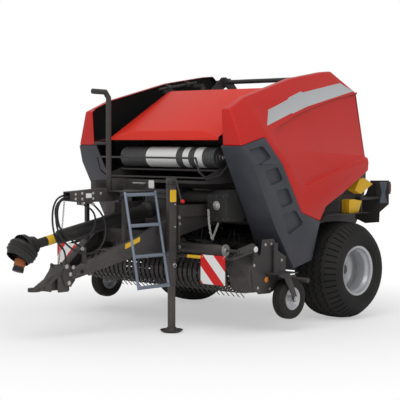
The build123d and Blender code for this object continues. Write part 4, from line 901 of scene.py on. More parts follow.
def panel_solid(name, s, outline, sunk, reach):
    """Block between a half width and the leaning face, which is moved in by a depth."""
    piece = slab(name, [at(s * reach, y, z) for y, z in outline], (s * (1.4 - reach / 1000), 0, 0))
    trimmed(piece, at(s * (LEAN_X - sunk), 0, LEAN_Z), (s, 0, LEAN))
    return trimmed(piece, at(s * (FLAT_X - sunk), 0, 0), (s, 0, 0))


def pressed(piece, s, outline, depth, corner):
    """Push a field of a panel inwards, round-cornered."""
    cutter = slab("field", [at(s * 700, y, z) for y, z in outline], (s * 0.7, 0, 0))
    picked(cutter, "edges", lambda e: abs((e.verts[0].co - e.verts[1].co).x) > 0.5)
    bpy.ops.mesh.bevel(offset=corner, segments=5, affect="EDGES")
    leave_edit()
    cut(cutter, panel_solid("floor", s, EVERYWHERE, depth, 600))
    return cut(piece, cutter)


def opened(piece, s, back_point, back):
    """Take away the faces that look into the machine, so that the wall can get its thickness."""
    picked(piece, "faces", lambda f: f.normal.x * s < -0.3 or (
        f.normal.dot(back) > 0.98 and abs((f.calc_center_median() - back_point).dot(back)) < 0.001))
    bpy.ops.mesh.delete(type="FACE")
    leave_edit()
    return piece


def moulded(name, s, outline, fields, rim, reach, front, fold, material):
    """Hollow panel with sunk fields, a rim all round and a front return that reaches further in."""
    piece = panel_solid(name, s, outline, 0, 500)
    for field, depth, corner in fields:
        pressed(piece, s, field, depth, corner)
    top, low = (at(0, *p) for p in front)
    along = (top - low).normalized()
    back = Vector((0, along.z, -along.y))
    behind = low + back * 0.04
    hollow = trimmed(panel_solid("hollow", s, EVERYWHERE, rim, 400), behind, -back)
    cut(piece, hollow)
    gap = slab("gap", [at(s * 300, y, z) for y, z in EVERYWHERE], (s * (reach - 300) / 1000, 0, 0))
    cut(piece, trimmed(gap, behind + back * 0.001, back))
    opened(piece, s, behind, back)
    # The second finish goes on the inner faces: near-black painted shade for the inside of the machine.
    for finish_name in (material, "inside"):
        piece.data.materials.append(MATERIALS[finish_name])
    bevelled(piece, fold, 3, FOLD_ANGLE, use_clamp_overlap=False)
    return modified(piece, "SOLIDIFY", thickness=SHEET, offset=-1, material_offset=1)


def two_faced(piece, body, replaced):
    """Panel that keeps its own paint outside, with near-black painted shade on its inner faces."""
    smoothed(piece, 40)
    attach(piece, body)
    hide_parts(replaced)


def silver_strip(name, s):
    """Bare silver strip with a thin raised border."""
    normal = Vector((s, 0, LEAN)).normalized()
    piece = slab("silver_strip_" + name, [at(s * lean_x(z), y, z) - normal * 0.002 for y, z in STRIP],
                 normal * 0.0034)
    inset(piece, lambda f: f.normal.dot(normal) > 0.99, (0.005, 0), (0.0015, -0.001))
    fitted(piece, "panel_" + name, "silver")


HINGE_LINE = ((-680, 2175), (-150, 2262))
HINGE_X = 760


def hinge_lugs(name, s):
    """Two folded lugs that hold a panel on its hinge tube, with their bolts."""
    pieces = []
    ends = [at(s * HINGE_X, *p) for p in HINGE_LINE]
    run = (ends[1] - ends[0]).normalized()
    for share in (0.25, 0.75):
        middle = ends[0].lerp(ends[1], share)
        sleeve = spun("lug", [(-0.025, 0.0215), (-0.025, 0.0275), (0.025, 0.0275), (0.025, 0.0215)],
                      middle, run, 24)
        across = Vector((s, 0, 0))
        up = run.cross(across) * (1 if run.cross(across).z > 0 else -1)
        start = middle + up * 0.022 - run * 0.025
        reach = across * 0.055
        tab = slab("tab", [start, start + run * 0.05, start + run * 0.05 + reach, start + reach], up * 0.006)
        pieces += [sleeve, tab]
    fitted(joined(pieces, "panel_lugs_" + name), "panel_" + name, "structure")
    bolts("lug_bolts_" + name, "panel_" + name, [
        (ends[0].lerp(ends[1], share) + Vector((s * x, 0, 0.030)), (0, -run.z, run.y))
        for share in (0.25, 0.75) for x in (0.022, 0.042)], 0.006)


class BalerPanelsOperator(bpy.types.Operator):
    """Mould the side panels, the lower shields, the silver strips and the hinge lugs"""

    bl_idname = "baler.side_panels"
    bl_label = "Side Panels and Shields"

    def execute(self, context):
        for name, s in SIDES:
            skin = moulded("gloss_panel_" + name, s, SKIN, [(FIELD, 26, 0.06)], 60, 830,
                           [SKIN[0], SKIN[1]], 0.016, "panel")
            two_faced(skin, "panel_" + name, "side_panel_" + name)
            shield = moulded("lower_shield_" + name, s, SHIELD, [(p, 30, 0.022) for p in POCKETS], 110, 800,
                             [SHIELD[0], SHIELD[-1]], 0.006, "shield")
            two_faced(shield, "panel_" + name, "side_shield_" + name)
            silver_strip(name, s)
            hinge_lugs(name, s)
        return {"FINISHED"}


# ---- net roll ---------------------------------------------------------------
ROLL_Y, ROLL_Z = -1270, 1520
ROLL_R = 0.095
DARK_BANDS = ((-598, -259), (133, 214), (288, 361), (457, 598))
WHITE_BANDS = ((-259, 133), (214, 288), (361, 457))
NET_RINGS, NET_STRANDS = 52.0, 9.0      # per metre along the roll and per radian round it


def roll_line(x):
    return at(x, ROLL_Y, ROLL_Z)


def net_material():
    """Dark netting wound on a roll: fine rings crossed by finer strands."""
    made, tree, shader = material_of("Bale Net", Roughness=0.6, Specular_IOR_Level=0.25)
    centred = node(tree, "ShaderNodeMapping", [("Vector", object_place(tree)), ("Location", -roll_line(0))])
    axes = node(tree, "ShaderNodeSeparateXYZ", [("Vector", centred.outputs[0])])
    turn = maths(tree, "ARCTAN2", axes.outputs["Y"], axes.outputs["Z"])
    marks = [ramp(tree, maths(tree, "FRACT", maths(tree, "MULTIPLY", source, count)), 0.72, 0.86)
             for source, count in ((axes.outputs["X"], NET_RINGS), (turn, NET_STRANDS))]
    tone = blended(tree, maths(tree, "MAXIMUM", *marks), opaque((0.018, 0.018, 0.018)),
                   opaque((0.16, 0.16, 0.165)))
    tree.links.new(tone, shader.inputs["Base Color"])
    return made


class BalerNetOperator(bpy.types.Operator):
    """Wind the net roll in its dark and white bands and add its end hubs"""

    bl_idname = "baler.net_roll"
    bl_label = "Net Roll"

    def execute(self, context):
        MATERIALS["net"] = net_material()
        for label, bands, radius, finish_name in (
                ("dark", DARK_BANDS, ROLL_R, "net"), ("white", WHITE_BANDS, ROLL_R - 0.0008, "white")):
            rings = [spun("band", [(x0 / 1000, 0.0286), (x0 / 1000, radius - 0.002),
                                   (x0 / 1000 + 0.002, radius), (x1 / 1000 - 0.002, radius),
                                   (x1 / 1000, radius - 0.002), (x1 / 1000, 0.0286)],
                          roll_line(0), (1, 0, 0), 72) for x0, x1 in bands]
            fitted(joined(rings, "net_bands_" + label), "net_roll", finish_name,
                   ("net_roll",) if label == "dark" else ())
        hubs = [spun("hub", [(0.6035, 0.0282), (0.6035, 0.062), (0.608, 0.066), (0.612, 0.062),
                             (0.612, 0.038), (0.6225, 0.034), (0.6225, 0.0282)], roll_line(0), (s, 0, 0), 32)
                for _, s in SIDES]
        fitted(joined(hubs, "roll_hubs"), "chassis", "rollers")
        bolts("roll_nuts", "chassis", [(roll_line(s * 631), (s, 0, 0)) for _, s in SIDES], 0.014)
        return {"FINISHED"}


# ---- hood -------------------------------------------------------------------


class BalerHoodOperator(bpy.types.Operator):
    """Hood over the net roll, with its rubber lip"""

    bl_idname = "baler.hood"
    bl_label = "Hood"

    def execute(self, context):
        softened("hood", "bent_hood", 0.0016, "hood", "chassis")
        low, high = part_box("hood")
        left, right = low[0] + 0.012, high[0] - 0.012
        lip = slab("hood_lip", [(x, low[1] + y, low[2] + z) for x, y, z in (
            (left, 0.0045, 0.002), (right, 0.0045, 0.002), (right, 0.010, 0.016), (left, 0.010, 0.016))],
                   (0, 0.012, 0))
        fitted(lip, "chassis", "black")
        return {"FINISHED"}


# ---- frame, drawbar and platform ---------------------------------------------
SOFT_NODES = (
    ("drawbar", "drawbar_arms", 0.003), ("hitch_head", "hitch_cheeks", 0.002),
    ("drawbar_eye", "towing_eye", 0.003), ("main_frame", "frame_beams", 0.003),
    ("gearbox", "drive_gearbox", 0.004), ("side_box", "side_drive_box", 0.003),
    ("jack_leg", "jack_foot", 0.0015), ("platform", "step_platform", 0.0015),
    ("handrail", "bent_handrail", 0.0015), ("hose_arm", "hose_bracket", 0.0012),
    ("mudguards", "guard_plates", 0.0012), ("pickup_frame", "pickup_arms", 0.002),
    ("axle", "axle_beam", 0.003), ("ladder", "ladder_rungs", 0.002), ("side_shrouds", "pickup_drums", 0.004),
)
SOFT_FINISHES = {"side_box": ("black", "black"), "ladder": ("ladder", "ladder"),
                 "platform": ("structure", "ladder")}


class BalerFrameOperator(bpy.types.Operator):
    """Round the edges of the frame, the drawbar, the jack's foot, the platform and the pick-up's plates"""

    bl_idname = "baler.frame_edges"
    bl_label = "Frame Edges"

    def execute(self, context):
        bodies = {"jack_leg": "jack_leg", "pickup_frame": "pickup", "side_shrouds": "pickup"}
        for source, name, width in SOFT_NODES:
            material, place = SOFT_FINISHES.get(source, ("structure", "frame_grey"))
            softened(source, name, width, material, bodies.get(source, "chassis"))
        return {"FINISHED"}


# ---- fasteners, chains, plates and stickers -----------------------------------
JACK = (478, -1771)
JACK_TURN = math.radians(90 - 20.8)     # square to the drawbar arm, which runs 20.8 degrees off the length


def on_jack(along, across, z):
    """Point on the jack's tube: along its front face's direction, across it and at a height."""
    run = Vector((math.cos(JACK_TURN), math.sin(JACK_TURN), 0))
    side = Vector((-run.y, run.x, 0))
    return at(*JACK, z) + run * along / 1000 + side * across / 1000


def plate_on(name, corners, normal, thickness, material, body, border=0.0, corner=0.16):
    """Thin plate or blank sticker on a surface; its corners are rounded by a share of its shortest side."""
    normal = Vector(normal).normalized()
    piece = slab(name, [Vector(c) for c in corners], normal * thickness)
    picked(piece, "edges", lambda e: (e.verts[0].co - e.verts[1].co).normalized().cross(normal).length < 0.01)
    shortest = min((Vector(a) - Vector(b)).length for a, b in zip(corners, corners[1:] + corners[:1]))
    bpy.ops.mesh.bevel(offset=shortest * corner, segments=3, affect="EDGES")
    leave_edit()
    if border:
        inset(piece, lambda f: f.normal.dot(normal) > 0.99, (border, -thickness * 0.3))
    return fitted(piece, body, material)


def chain(name, body, points, wire):
    """Chain of round links along a line of points, every second link turned."""
    link = ring("link", (0, 0, 0), (0, 1, 0), wire * 2.1, wire * 0.8, 14, 6)
    link.data.transform(Matrix.Diagonal((1, 1, 1.5, 1)))
    pitch = wire * 4.7
    places, turn = [], 0
    for start, end in zip(points, points[1:]):
        run = Vector(end) - Vector(start)
        count = max(1, round(run.length / pitch))
        for k in range(count):
            places.append(facing(Vector(start) + run * (k + 0.5) / count, run, turn * math.pi / 2))
            turn += 1
    return fitted(copied(link, places, name), body, "zinc")


def hanging(start, end, sag, steps):
    """Points of a line that sags between two ends."""
    start, end = Vector(start), Vector(end)
    shares = [k / steps for k in range(steps + 1)]
    return [start.lerp(end, share) - Vector((0, 0, sag * math.sin(math.pi * share))) for share in shares]


def arm_point(distance, height, s=1, out=0.0375):
    """Point on the outer face of a drawbar arm."""
    tip, end = Vector((s * 65, -2590, 0)), Vector((s * 415, -1670, 0))
    run = (end - tip).normalized()
    out_way = Vector((run.y, -run.x, 0)) * s
    spot = tip + run * distance
    return at(spot.x, spot.y, height) + out_way * out, out_way


class BalerFastenersOperator(bpy.types.Operator):
    """Bolt heads on the frame, drawbar, hood, drive box and pick-up, and the drive box's bearing"""

    bl_idname = "baler.fasteners"
    bl_label = "Bolts"

    def execute(self, context):
        head = [(at(s * 98, y, z), (s, 0, 0)) for _, s in SIDES
                for y, z in ((-2642, 612), (-2600, 545), (-2616, 472), (-2568, 600))]
        bolts("hitch_bolts", "chassis", head, 0.013)
        arms = [arm_point(d, z, s) for _, s in SIDES for d, z in ((60, 545), (150, 600), (105, 612))]
        flange = [(at(s * x, -1682, z), (0, -1, 0)) for _, s in SIDES for x in (367, 463)
                  for z in (720, 800, 960)]
        bolts("drawbar_bolts", "chassis", arms + flange, 0.010, "dark_bolt")
        bracket = ((-2585, 1222), (-2585, 1182), (-2512, 1228), (-2387, 1226), (-2300, 1222), (-2387, 1180),
                   (-2512, 1180))
        bolts("hose_bracket_bolts", "chassis", [(at(150, y, z), (1, 0, 0)) for y, z in bracket], 0.008)
        box_low, box_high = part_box("side_box")
        spot = at(672, -1402, 1100)
        disc = spun("bearing_disc", [(-0.002, 0), (-0.002, 0.040), (0.003, 0.040), (0.005, 0.036),
                                     (0.005, 0.022), (0.016, 0.020), (0.018, 0.016), (0.018, 0.0)], spot,
                    (0, -1, 0), 32)
        fitted(disc, "chassis", "zinc")
        corners = [spot + Vector((x, -0.004, z)) for x in (-0.021, 0.021) for z in (-0.021, 0.021)]
        bolts("bearing_bolts", "chassis", [(corner, (0, -1, 0)) for corner in corners], 0.004, "dark_bolt")
        bolts("box_bolts", "chassis", [
            (Vector((x, box_low[1], z)), (0, -1, 0)) for x in (0.59, 0.67, 0.75) for z in (0.985, 1.18)]
            + [(Vector((box_high[0], at(0, y, 0).y, z)), (1, 0, 0))
               for y, z in ((-1375, 0.98), (-1375, 1.19), (-1250, 1.21), (-1140, 1.21), (-1200, 0.98))],
              0.006, "dark_bolt")
        bolts("jack_flange_bolts", "chassis", [(at(489, -1682, z), (0, -1, 0)) for z in (1000, 944, 742)],
              0.012)
        hood_sides = [(at(s * 688, y, z), (s, 0, 0)) for _, s in SIDES
                      for y, z in ((-1300, 1730), (-1050, 1800), (-800, 1900))]
        bolts("hood_bolts", "chassis", hood_sides, 0.008)
        ends = [(at(s * 1100, y, z), (s, 0, 0)) for _, s in SIDES
                for y, z in ((-1390, 600), (-1340, 400), (-1180, 380), (-1010, 470), (-1020, 620),
                             (-1240, 770), (-1160, 770))]
        bolts("pickup_bolts", "pickup", ends, 0.009)
        walls = [(at(s * 625, y, z), (s, 0, 0)) for _, s in SIDES
                 for y, z in ((-560, 1100), (-560, 1500), (-480, 1900), (-120, 1950), (-200, 850),
                              (-520, 800))]
        bolts("wall_bolts", "chassis", walls, 0.009, "dark_bolt")
        rear = [(at(s * 625, y, z), (s, 0, 0)) for _, s in SIDES
                for y, z in ((200, 2000), (600, 1900), (780, 1400), (640, 1000), (250, 820))]
        bolts("tailgate_bolts", "tailgate", rear, 0.009, "dark_bolt")
        return {"FINISHED"}


class BalerJackOperator(bpy.types.Operator):
    """Jack with its tubes, brackets, clamp rings, pins, crank and blank yellow sticker"""

    bl_idname = "baler.jack_fittings"
    bl_label = "Jack Fittings"

    def execute(self, context):
        side = (on_jack(0, -1, 0) - on_jack(0, 0, 0)).normalized()
        parts = []
        for half, low, high in ((0.035, 640, 1292), (0.0307, 412, 1100), (0.038, 1290, 1348)):
            tube = box("tube", (-half, -half, 0), (half, half, (high - low) / 1000))
            bevelled(tube, 0.007, 3)
            inset(tube, lambda f: f.normal.z < -0.99, (0.004, 0), (0.00005, -(high - low - 20) / 1000))
            tube.data.transform(facing(on_jack(0, 0, low), (0, 0, 1), JACK_TURN))
            parts.append(tube)
        for z in (720, 870):
            bracket = bevelled(box("bracket", (-0.030, 0, 0), (0.030, 0.0755, 0.020)), 0.002)
            bracket.data.transform(facing(on_jack(0, 34, z), (0, 0, 1), JACK_TURN))
            parts.append(bracket)
        elbow, end = at(556, -1787, 1318), at(612, -1785, 1150)
        parts += [rod("boss", at(505, -1781, 1318), at(530, -1784, 1318), 0.013, 24),
                  rod("arm", at(500, -1780, 1318), elbow, 0.007), rod("arm", elbow, end, 0.007),
                  spun("bend", [(-0.007, 0), (-0.005, 0.005), (0, 0.007), (0.005, 0.005), (0.007, 0)], elbow,
                       (0, 1, 0), 16)]
        jack = joined(parts, "jack_tubes")
        fitted(jack, "chassis", "structure", ("jack_body",))
        knob = spun("crank_knob", [(-0.004, 0.0), (-0.003, 0.010), (0.004, 0.016), (0.020, 0.017),
                                   (0.028, 0.010), (0.029, 0.0)], end, (0.95, 0.1, -0.05), 24)
        fitted(knob, "chassis", "red_plastic")
        rings = []
        for z in (645, 1272):
            collar = box("collar", (-0.0385, -0.0385, 0), (0.0385, 0.0385, 0.014))
            collar.data.transform(facing(on_jack(0, 0, z), (0, 0, 1), JACK_TURN))
            rings.append(bevelled(collar, 0.002))
        fitted(joined(rings, "jack_collars"), "chassis", "structure")
        pin = joined([rod("pin", on_jack(0, -62, 600), on_jack(0, -31, 600), 0.007),
                      rod("pin", on_jack(0, 31, 600), on_jack(0, 50, 600), 0.007),
                      ring("pull", on_jack(0, -70, 592), (1, 0, 0.2), 0.018, 0.0022, 24, 8),
                      rod("pin", on_jack(12, -52, 1120), on_jack(12, -35, 1120), 0.006),
                      rod("pin", on_jack(12, -52, 925), on_jack(12, -35, 925), 0.006)], "jack_pin")
        fitted(pin, "chassis", "zinc")
        corners = [on_jack(-30, -35.1, 1140), on_jack(30, -35.1, 1140), on_jack(30, -35.1, 1246),
                   on_jack(-30, -35.1, 1246)]
        plate_on("jack_sticker", corners, side, 0.0006, "yellow", "chassis", 0.004)
        return {"FINISHED"}


class BalerFittingsOperator(bpy.types.Operator):
    """Blank stickers, chains, the wedge behind the eye and a grab handle on the drawbar and platform"""

    bl_idname = "baler.drawbar_fittings"
    bl_label = "Drawbar and Platform Fittings"

    def execute(self, context):
        points = [arm_point(d, z)[0] for d, z in ((500, 738), (640, 800), (640, 842), (500, 780))]
        plate_on("arm_sticker", points, arm_point(500, 738)[1], 0.0006, "yellow", "chassis", 0.004)
        label = ((-2470, 1187), (-2405, 1187), (-2405, 1225), (-2470, 1225))
        plate_on("bracket_sticker", [at(150, y, z) for y, z in label], (1, 0, 0), 0.0006, "white", "chassis",
                 0.003)
        outline = ((-2900, 447), (-2680, 572), (-2664, 406), (-2900, 435))
        wedge = slab("hitch_wedge", [at(-34, y, z) for y, z in outline], (0.068, 0, 0))
        fitted(bevelled(wedge, 0.006, 3), "chassis", "structure")
        # Near-black disc set just inside the drawbar arm's hole: painted shade for the hollow arm behind it.
        hole, out_way = arm_point(105, 562, 1, 0.0275)
        hole_shade = spun("arm_plug", [(-0.002, 0), (-0.002, 0.024), (0, 0.024), (0, 0)], hole, out_way, 40)
        fitted(hole_shade, "chassis", "inside")
        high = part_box("platform")[1]
        riser = high[1] - 0.0045
        label = ((0.275, -0.076), (0.341, -0.076), (0.341, -0.006), (0.275, -0.006))
        plate_on("riser_sticker", [(x, riser - 0.004, high[2] + z) for x, z in label],
                 (0, -1, 0), 0.0006, "white", "chassis", 0.003)
        foot_y, grip_z = riser - 0.004, high[2] - 0.035
        ends = [(x, foot_y - 0.035, grip_z) for x in (0.115, 0.235)]
        legs = [rod("leg", end, (end[0], foot_y, grip_z), 0.008, 12) for end in ends]
        handle = joined([rod("grip", *ends, 0.008, 12), *legs], "platform_handle")
        fitted(handle, "chassis", "zinc")
        chain("safety_chain", "chassis", [at(x, -1408, z) for x, z in (
            (581, 1062), (588, 940), (605, 860), (629, 800), (652, 850), (680, 905), (698, 945))], 0.0042)
        chain("pin_chain", "chassis", hanging(at(85, -2655, 1165), at(-70, -2590, 622), 0.03, 6), 0.003)
        return {"FINISHED"}


# ---- wheels, lamps, boards and pick-up ----------------------------------------
RIM = [(-14, 0), (-14, 36), (-124, 36), (-124, 80), (-46, 80), (-46, 150), (-34, 190), (-60, 205),
       (-214, 208), (-221, 218), (-225, 232), (-221, 235), (-215, 233), (-212, 216.5), (212, 216.5),
       (215, 233), (221, 235), (225, 232), (223, 222), (216, 211), (196, 207), (186, 203), (172, 189),
       (158, 185), (84, 185), (72, 188), (60, 199), (46, 204), (20, 204), (6, 198), (-14, 178), (-20, 160),
       (-28, 150), (-30, 132), (-24, 104), (-26, 88), (-20, 80), (30, 79), (46, 66), (50, 48), (50, 0)]
GAUGE_RIM = [(50, 12.3), (50, 27), (12, 29), (10, 48), (14, 66), (26, 82), (36, 88), (40, 94), (44, 97.5),
             (45, 99.5), (40, 98.5), (34, 93), (-34, 93), (-40, 98.5), (-45, 99.5), (-44, 94), (-30, 88),
             (-2, 84), (-4, 48), (-10, 28), (-50, 27), (-50, 12.3)]
NUT_CIRCLE, GAUGE_NUT_CIRCLE = 0.112, 0.052


def spun_rim(source, name, body, profile, s):
    piece = spun(name, in_metres(profile), middle_of(source), (s, 0, 0), 72)
    fitted(piece, body, "rim", (source,), 40)


def round_axle(x, centre, radius, count, shift, s):
    """Places and directions for bolts in a ring about an axle along X, shifted by a share of a step."""
    turns = [math.tau * (k + shift) / count for k in range(count)]
    return [(Vector((x, centre.y + radius * math.cos(a), centre.z + radius * math.sin(a))), (s, 0, 0))
            for a in turns]


def wheel_nuts(name, s):
    """Ring of wheel nuts with their studs and a hub cap on a main wheel."""
    centre = middle_of("rim_" + name)
    disc = centre.x - s * 0.026
    nuts = round_axle(disc, centre, NUT_CIRCLE, 8, 0.5, s)
    bolts("wheel_nuts_" + name, "wheel_" + name, nuts, 0.014)
    cap = spun("hub_cap_" + name, [(0.0, 0.046), (0.010, 0.046), (0.018, 0.040), (0.021, 0.028),
                                   (0.022, 0.0)],
               Vector((centre.x + s * 0.0495, centre.y, centre.z)), (s, 0, 0), 32)
    fitted(cap, "wheel_" + name, "dark_bolt")


class BalerWheelsOperator(bpy.types.Operator):
    """Dished rims, wheel nuts, hub caps and the gauge wheels' axle nuts"""

    bl_idname = "baler.wheel_fittings"
    bl_label = "Rims and Wheel Fittings"

    def execute(self, context):
        for name, s in SIDES:
            spun_rim("rim_" + name, "dished_rim_" + name, "wheel_" + name, RIM, s)
            spun_rim("gauge_rim_" + name, "small_rim_" + name, "gauge_" + name, GAUGE_RIM, s)
            wheel_nuts(name, s)
            centre = middle_of("gauge_rim_" + name)
            nuts = round_axle(centre.x + s * 0.0105, centre, GAUGE_NUT_CIRCLE, 5, 0, s)
            bolts("gauge_nuts_" + name, "gauge_" + name, nuts, 0.008)
            fork_nut = Vector((at(s * 1252, 0, 0).x, centre.y, centre.z))
            bolts("fork_nut_" + name, "pickup", [(fork_nut, (s, 0, 0))], 0.016)
        return {"FINISHED"}


BOARD_MIDDLE = (0.94, 0.575)            # half width and height of a board's middle
STRIPE_PITCH = 0.245                    # a red and a white stripe, measured along an edge
STRIPE_START = 0.96


def striped(name, colour):
    """Diagonal red and white stripes on a board that faces along the machine."""
    made, tree, shader = material_of(name, Roughness=0.35, Specular_IOR_Level=0.3)
    axes = node(tree, "ShaderNodeSeparateXYZ", [("Vector", object_place(tree))])
    level = maths(tree, "SUBTRACT", axes.outputs["Z"], BOARD_MIDDLE[1])
    inward = maths(tree, "SUBTRACT", maths(tree, "ABSOLUTE", axes.outputs["X"]), BOARD_MIDDLE[0])
    across = maths(tree, "MULTIPLY", maths(tree, "ADD", inward, level), 1 / STRIPE_PITCH)
    stripe = maths(tree, "GREATER_THAN", maths(tree, "FRACT", maths(tree, "ADD", across, STRIPE_START)), 0.5)
    tone = blended(tree, stripe, opaque((0.78, 0.78, 0.77)), opaque(colour))
    tree.links.new(tone, shader.inputs["Base Color"])
    return made


class BalerBoardsOperator(bpy.types.Operator):
    """Striped warning boards with their arms and rivets, reflectors and marker discs"""

    bl_idname = "baler.boards"
    bl_label = "Warning Boards and Reflectors"

    def execute(self, context):
        MATERIALS["striped"] = striped("Warning Stripes", settings("paints").board_red)
        for name, s in SIDES:
            y = at(0, -1743, 0).y
            corners = [(s * 0.8, y, 0.45), (s * 1.08, y, 0.45), (s * 1.08, y, 0.70), (s * 0.8, y, 0.70)]
            plate_on("warning_board_" + name, corners, (0, 1, 0), 0.003, "striped", "pickup", corner=0.02)
            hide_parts("warning_boards")
            arm = box("board_arm_" + name, (s * 0.94 - 0.02, y + 0.003, 0.655),
                      (s * 0.94 + 0.02, at(0, -1663.2, 0).y, 0.675))
            fitted(bevelled(arm, 0.002), "pickup", "structure")
            rivets = [(Vector((s * x, y, z)), (0, -1, 0)) for x in (0.818, 1.062) for z in (0.468, 0.682)]
            bolts("board_rivets_" + name, "pickup", rivets, 0.004)
            lens = spun("reflector_" + name, [(0, 0), (0, 0.024), (0.004, 0.024), (0.006, 0.021),
                                              (0.0065, 0.0)],
                        at(s * 1100, -1228, 464), (s, 0, 0), 24)
            fitted(lens, "pickup", "amber")
            disc = spun("disc_" + name, [(0, 0), (0, 0.026), (0.004, 0.026), (0.006, 0.022), (0.006, 0.0)],
                        at(s * 1078.5, -1345, 733), (s, 0, 0), 24)
            fitted(disc, "pickup", "white")
        return {"FINISHED"}


CHOCKS = ([(150, 1200), (215, 1295), (290, 1316), (440, 1252), (245, 1160)],
          [(60, 985.5), (60, 1110), (120, 1116), (262, 1096), (212, 985.5)])
CHOCK_HOLDER = [(55, 985.5), (225, 985.5), (430, 1190), (320, 1290), (150, 1215), (55, 1100)]


def shrunk(outline, share):
    """Outline drawn towards its middle by a share."""
    middle = [sum(values) / len(outline) for values in zip(*outline)]
    return [(y + (middle[0] - y) * share, z + (middle[1] - z) * share) for y, z in outline]


def ribbed_chocks():
    """Two ribbed wheel chocks, strapped to their dark holder plate."""
    parts = []
    for outline in CHOCKS:
        parts.append(slab("core", [at(948, y, z) for y, z in shrunk(outline, 0.09)], (0.084, 0, 0)))
        for k in range(6):
            rib = slab("rib", [at(945 + 16 * k, y, z) for y, z in outline], (0.009, 0, 0))
            parts.append(bevelled(rib, 0.002))
    fitted(joined(parts, "ribbed_chocks"), "chassis", "yellow", ("wheel_chocks",))
    holder = slab("chock_holder", [at(935, y, z) for y, z in CHOCK_HOLDER], (0.0097, 0, 0))
    fitted(bevelled(holder, 0.002), "chassis", "structure")


class BalerLampsOperator(bpy.types.Operator):
    """Lamp clusters, plate guards and rivets on the rear carriers, and the ribbed wheel chocks"""

    bl_idname = "baler.lamps"
    bl_label = "Rear Lamps"

    def execute(self, context):
        ribbed_chocks()
        for name, s in SIDES:
            y = at(0, 650, 0).y
            parts = (("red_plastic", 1.062, 0.030), ("amber", 1.000, 0.026), ("red_plastic", 0.938, 0.026))
            for material, x, half in parts:
                lens = box(f"lens_{name}_{round(x * 1000)}", (s * x - half, y - 0.001, 1.168),
                           (s * x + half, y + 0.016, 1.252))
                fitted(bevelled(lens, 0.006, 3), "chassis", material)
            rivets = [(at(s * x, 600, z), (0, -1, 0)) for x, z in (
                (918, 1258), (1085, 1258), (1085, 1075), (760, 905), (850, 885), (965, 900), (770, 1040),
                (1000, 1000))]
            bolts("lamp_rivets_" + name, "chassis", rivets, 0.006, "dark_bolt")
            frame_plate = [(1000, 1268), (1094, 1272), (1066, 1166), (1094, 1064), (1004, 1060), (1030, 1164)]
            plate_on("lamp_guard_" + name, [at(s * x, 600, z) for x, z in frame_plate], (0, -1, 0), 0.004,
                     "ladder", "chassis", 0.008, 0.08)
            rib = box("lamp_ribs_" + name, (s * 0.955 - 0.008, at(0, 588, 0).y, 1.09),
                      (s * 0.955 + 0.008, at(0, 600.5, 0).y, 1.25))
            fitted(bevelled(rib, 0.003), "chassis", "black")
        return {"FINISHED"}


TINES, TINE_PITCH = 28, 0.060           # tines on a bar and their distance


class BalerPickupOperator(bpy.types.Operator):
    """Coils of the spring tines, drum rings, press roller hubs and the guard tube's yellow sleeve"""

    bl_idname = "baler.pickup"
    bl_label = "Pick-up Details"

    def execute(self, context):
        reel = at(0, -1320, 500)
        coil = ring("coil", (0, 0, 0), (1, 0, 0), 0.020, 0.0028, 14, 6)
        places = []
        for k in range(4):
            turn = math.radians(k * 90 + 20)
            middle = reel + Vector((0, math.cos(turn), math.sin(turn))) * 0.105
            for n in range(TINES):
                x = TINE_PITCH * (n + 0.5) - TINE_PITCH * TINES / 2
                for shift in (-0.011, -0.005, 0.005, 0.011):
                    places.append(Matrix.Translation(middle + Vector((x + shift, 0, 0))))
        fitted(copied(coil, places, "tine_coils"), "pickup_reel", "tine")
        for name, s in SIDES:
            rings = [spun("rim", [(0.892 + x, 0.1585), (0.896 + x, 0.1605), (0.904 + x, 0.1605),
                                  (0.908 + x, 0.1582)],
                          reel, (s, 0, 0), 48) for x in (0.004, 0.045)]
            fitted(joined(rings, "drum_rings_" + name), "pickup", "structure")
            hub = spun("press_hub_" + name, [(0, 0), (0, 0.052), (0.002, 0.0515), (0.002, 0.040),
                                             (-0.001, 0.038), (-0.001, 0.018), (0.010, 0.016), (0.012, 0.013),
                                             (0.012, 0)], at(s * 911, -1545, 727), (s, 0, 0), 40)
            fitted(hub, "press_roller", "zinc")
        sleeve = rod("bar_sleeve", at(560, -1650, 664), at(740, -1650, 664), 0.0142, 24)
        fitted(sleeve, "pickup", "yellow")
        return {"FINISHED"}


# ---- drive shaft --------------------------------------------------------------
JOINT = (0, -3020, 788)
DRIVE_END = (0, -1520, 1060)
BELL_TILT, YOKE_TILT = 51, 70           # how steeply the boot and the yoke hang, in degrees


def hanging_way(tilt):
    """Direction forwards and down by a tilt in degrees."""
    turn = math.radians(tilt)
    return Vector((0, -math.cos(turn), -math.sin(turn)))


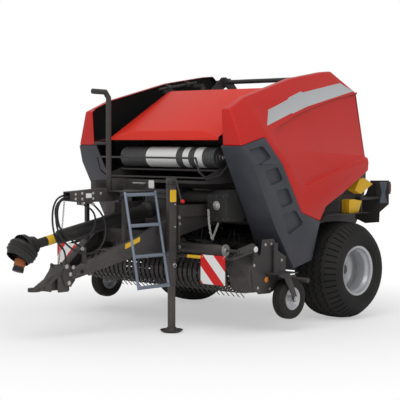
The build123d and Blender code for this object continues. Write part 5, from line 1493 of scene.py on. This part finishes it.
class BalerDriveOperator(bpy.types.Operator):
    """Clamps and yellow band on the drive shaft's guard, the boot's rim, and the yoke's casting and collar"""

    bl_idname = "baler.drive"
    bl_label = "Drive Shaft"

    def execute(self, context):
        joint, far = at(*JOINT), at(*DRIVE_END)
        run = (far - joint).normalized()
        bell, yoke = hanging_way(BELL_TILT), hanging_way(YOKE_TILT)
        band = spun("guard_band", [(0.235, 0.0402), (0.235, 0.0416), (0.312, 0.0416), (0.312, 0.0402)],
                    joint, run, 32)
        fitted(band, "chassis", "yellow")
        rings = [spun("clamp", [(a, r), (a, r + 0.004), (a + 0.012, r + 0.004), (a + 0.012, r)],
                      joint, run, 40) for a, r in ((0.118, 0.0455), (0.375, 0.0402))]
        fitted(joined(rings, "guard_clamps"), "chassis", "black")
        for name, near, near_radius, end, far_radius, finish_name in (
                ("yoke_casting", 0.100, 0.0470, 0.158, 0.0475, "casting"),
                ("yoke_collar", 0.170, 0.0475, 0.205, 0.0475, "black")):
            profile = [(near, 0.0452), (near + 0.002, near_radius), (end - 0.002, far_radius), (end, 0.0452)]
            fitted(spun(name, profile, joint, yoke, 40), "chassis", finish_name)
        rim = spun("boot_rim", [(0.103, 0.0975), (0.105, 0.1), (0.111, 0.1), (0.112, 0.0965)],
                   joint, bell, 56)
        fitted(rim, "chassis", "black")
        return {"FINISHED"}


# ---- panel and registration -------------------------------------------------
STEPS = (
    BalerStageOperator, BalerPaintOperator, BalerHosesOperator, BalerTyresOperator, BalerPanelsOperator,
    BalerNetOperator, BalerHoodOperator, BalerFrameOperator, BalerFastenersOperator, BalerJackOperator,
    BalerFittingsOperator, BalerWheelsOperator, BalerBoardsOperator, BalerLampsOperator, BalerPickupOperator,
    BalerDriveOperator,
)


class BalerPanel(bpy.types.Panel):
    """Lists the settings and the steps of the baler"""

    bl_idname = "VIEW3D_PT_baler"
    bl_label = "Round Baler"
    bl_space_type = "VIEW_3D"
    bl_region_type = "UI"
    bl_category = "Baler"

    def draw(self, context):
        for name in GROUP_CLASSES:
            group = getattr(context.scene, "baler_" + name)
            column = self.layout.column(align=True)
            for key in group.__annotations__:
                column.prop(group, key)
        for step in STEPS:
            self.layout.operator(step.bl_idname)


GROUP_CLASSES = {"paints": BalerPaints, "tyres": BalerTyres, "stage": BalerStage}


def register():
    for name, group in GROUP_CLASSES.items():
        bpy.utils.register_class(group)
        setattr(bpy.types.Scene, "baler_" + name, bpy.props.PointerProperty(type=group))
    for step in (*STEPS, BalerPanel):
        bpy.utils.register_class(step)


def unregister():
    for step in (BalerPanel, *reversed(STEPS)):
        bpy.utils.unregister_class(step)
    for name, group in GROUP_CLASSES.items():
        delattr(bpy.types.Scene, "baler_" + name)
        bpy.utils.unregister_class(group)


def plain(bounds):
    return [[float(v) for v in corner] for corner in bounds]


def main():
    register()
    for step in STEPS:
        getattr(bpy.ops.baler, step.bl_idname.split(".")[1])()
    {"cad": plain(CAD_BOUNDS), "visual": plain(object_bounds())}


if __name__ == "__main__":
    main()
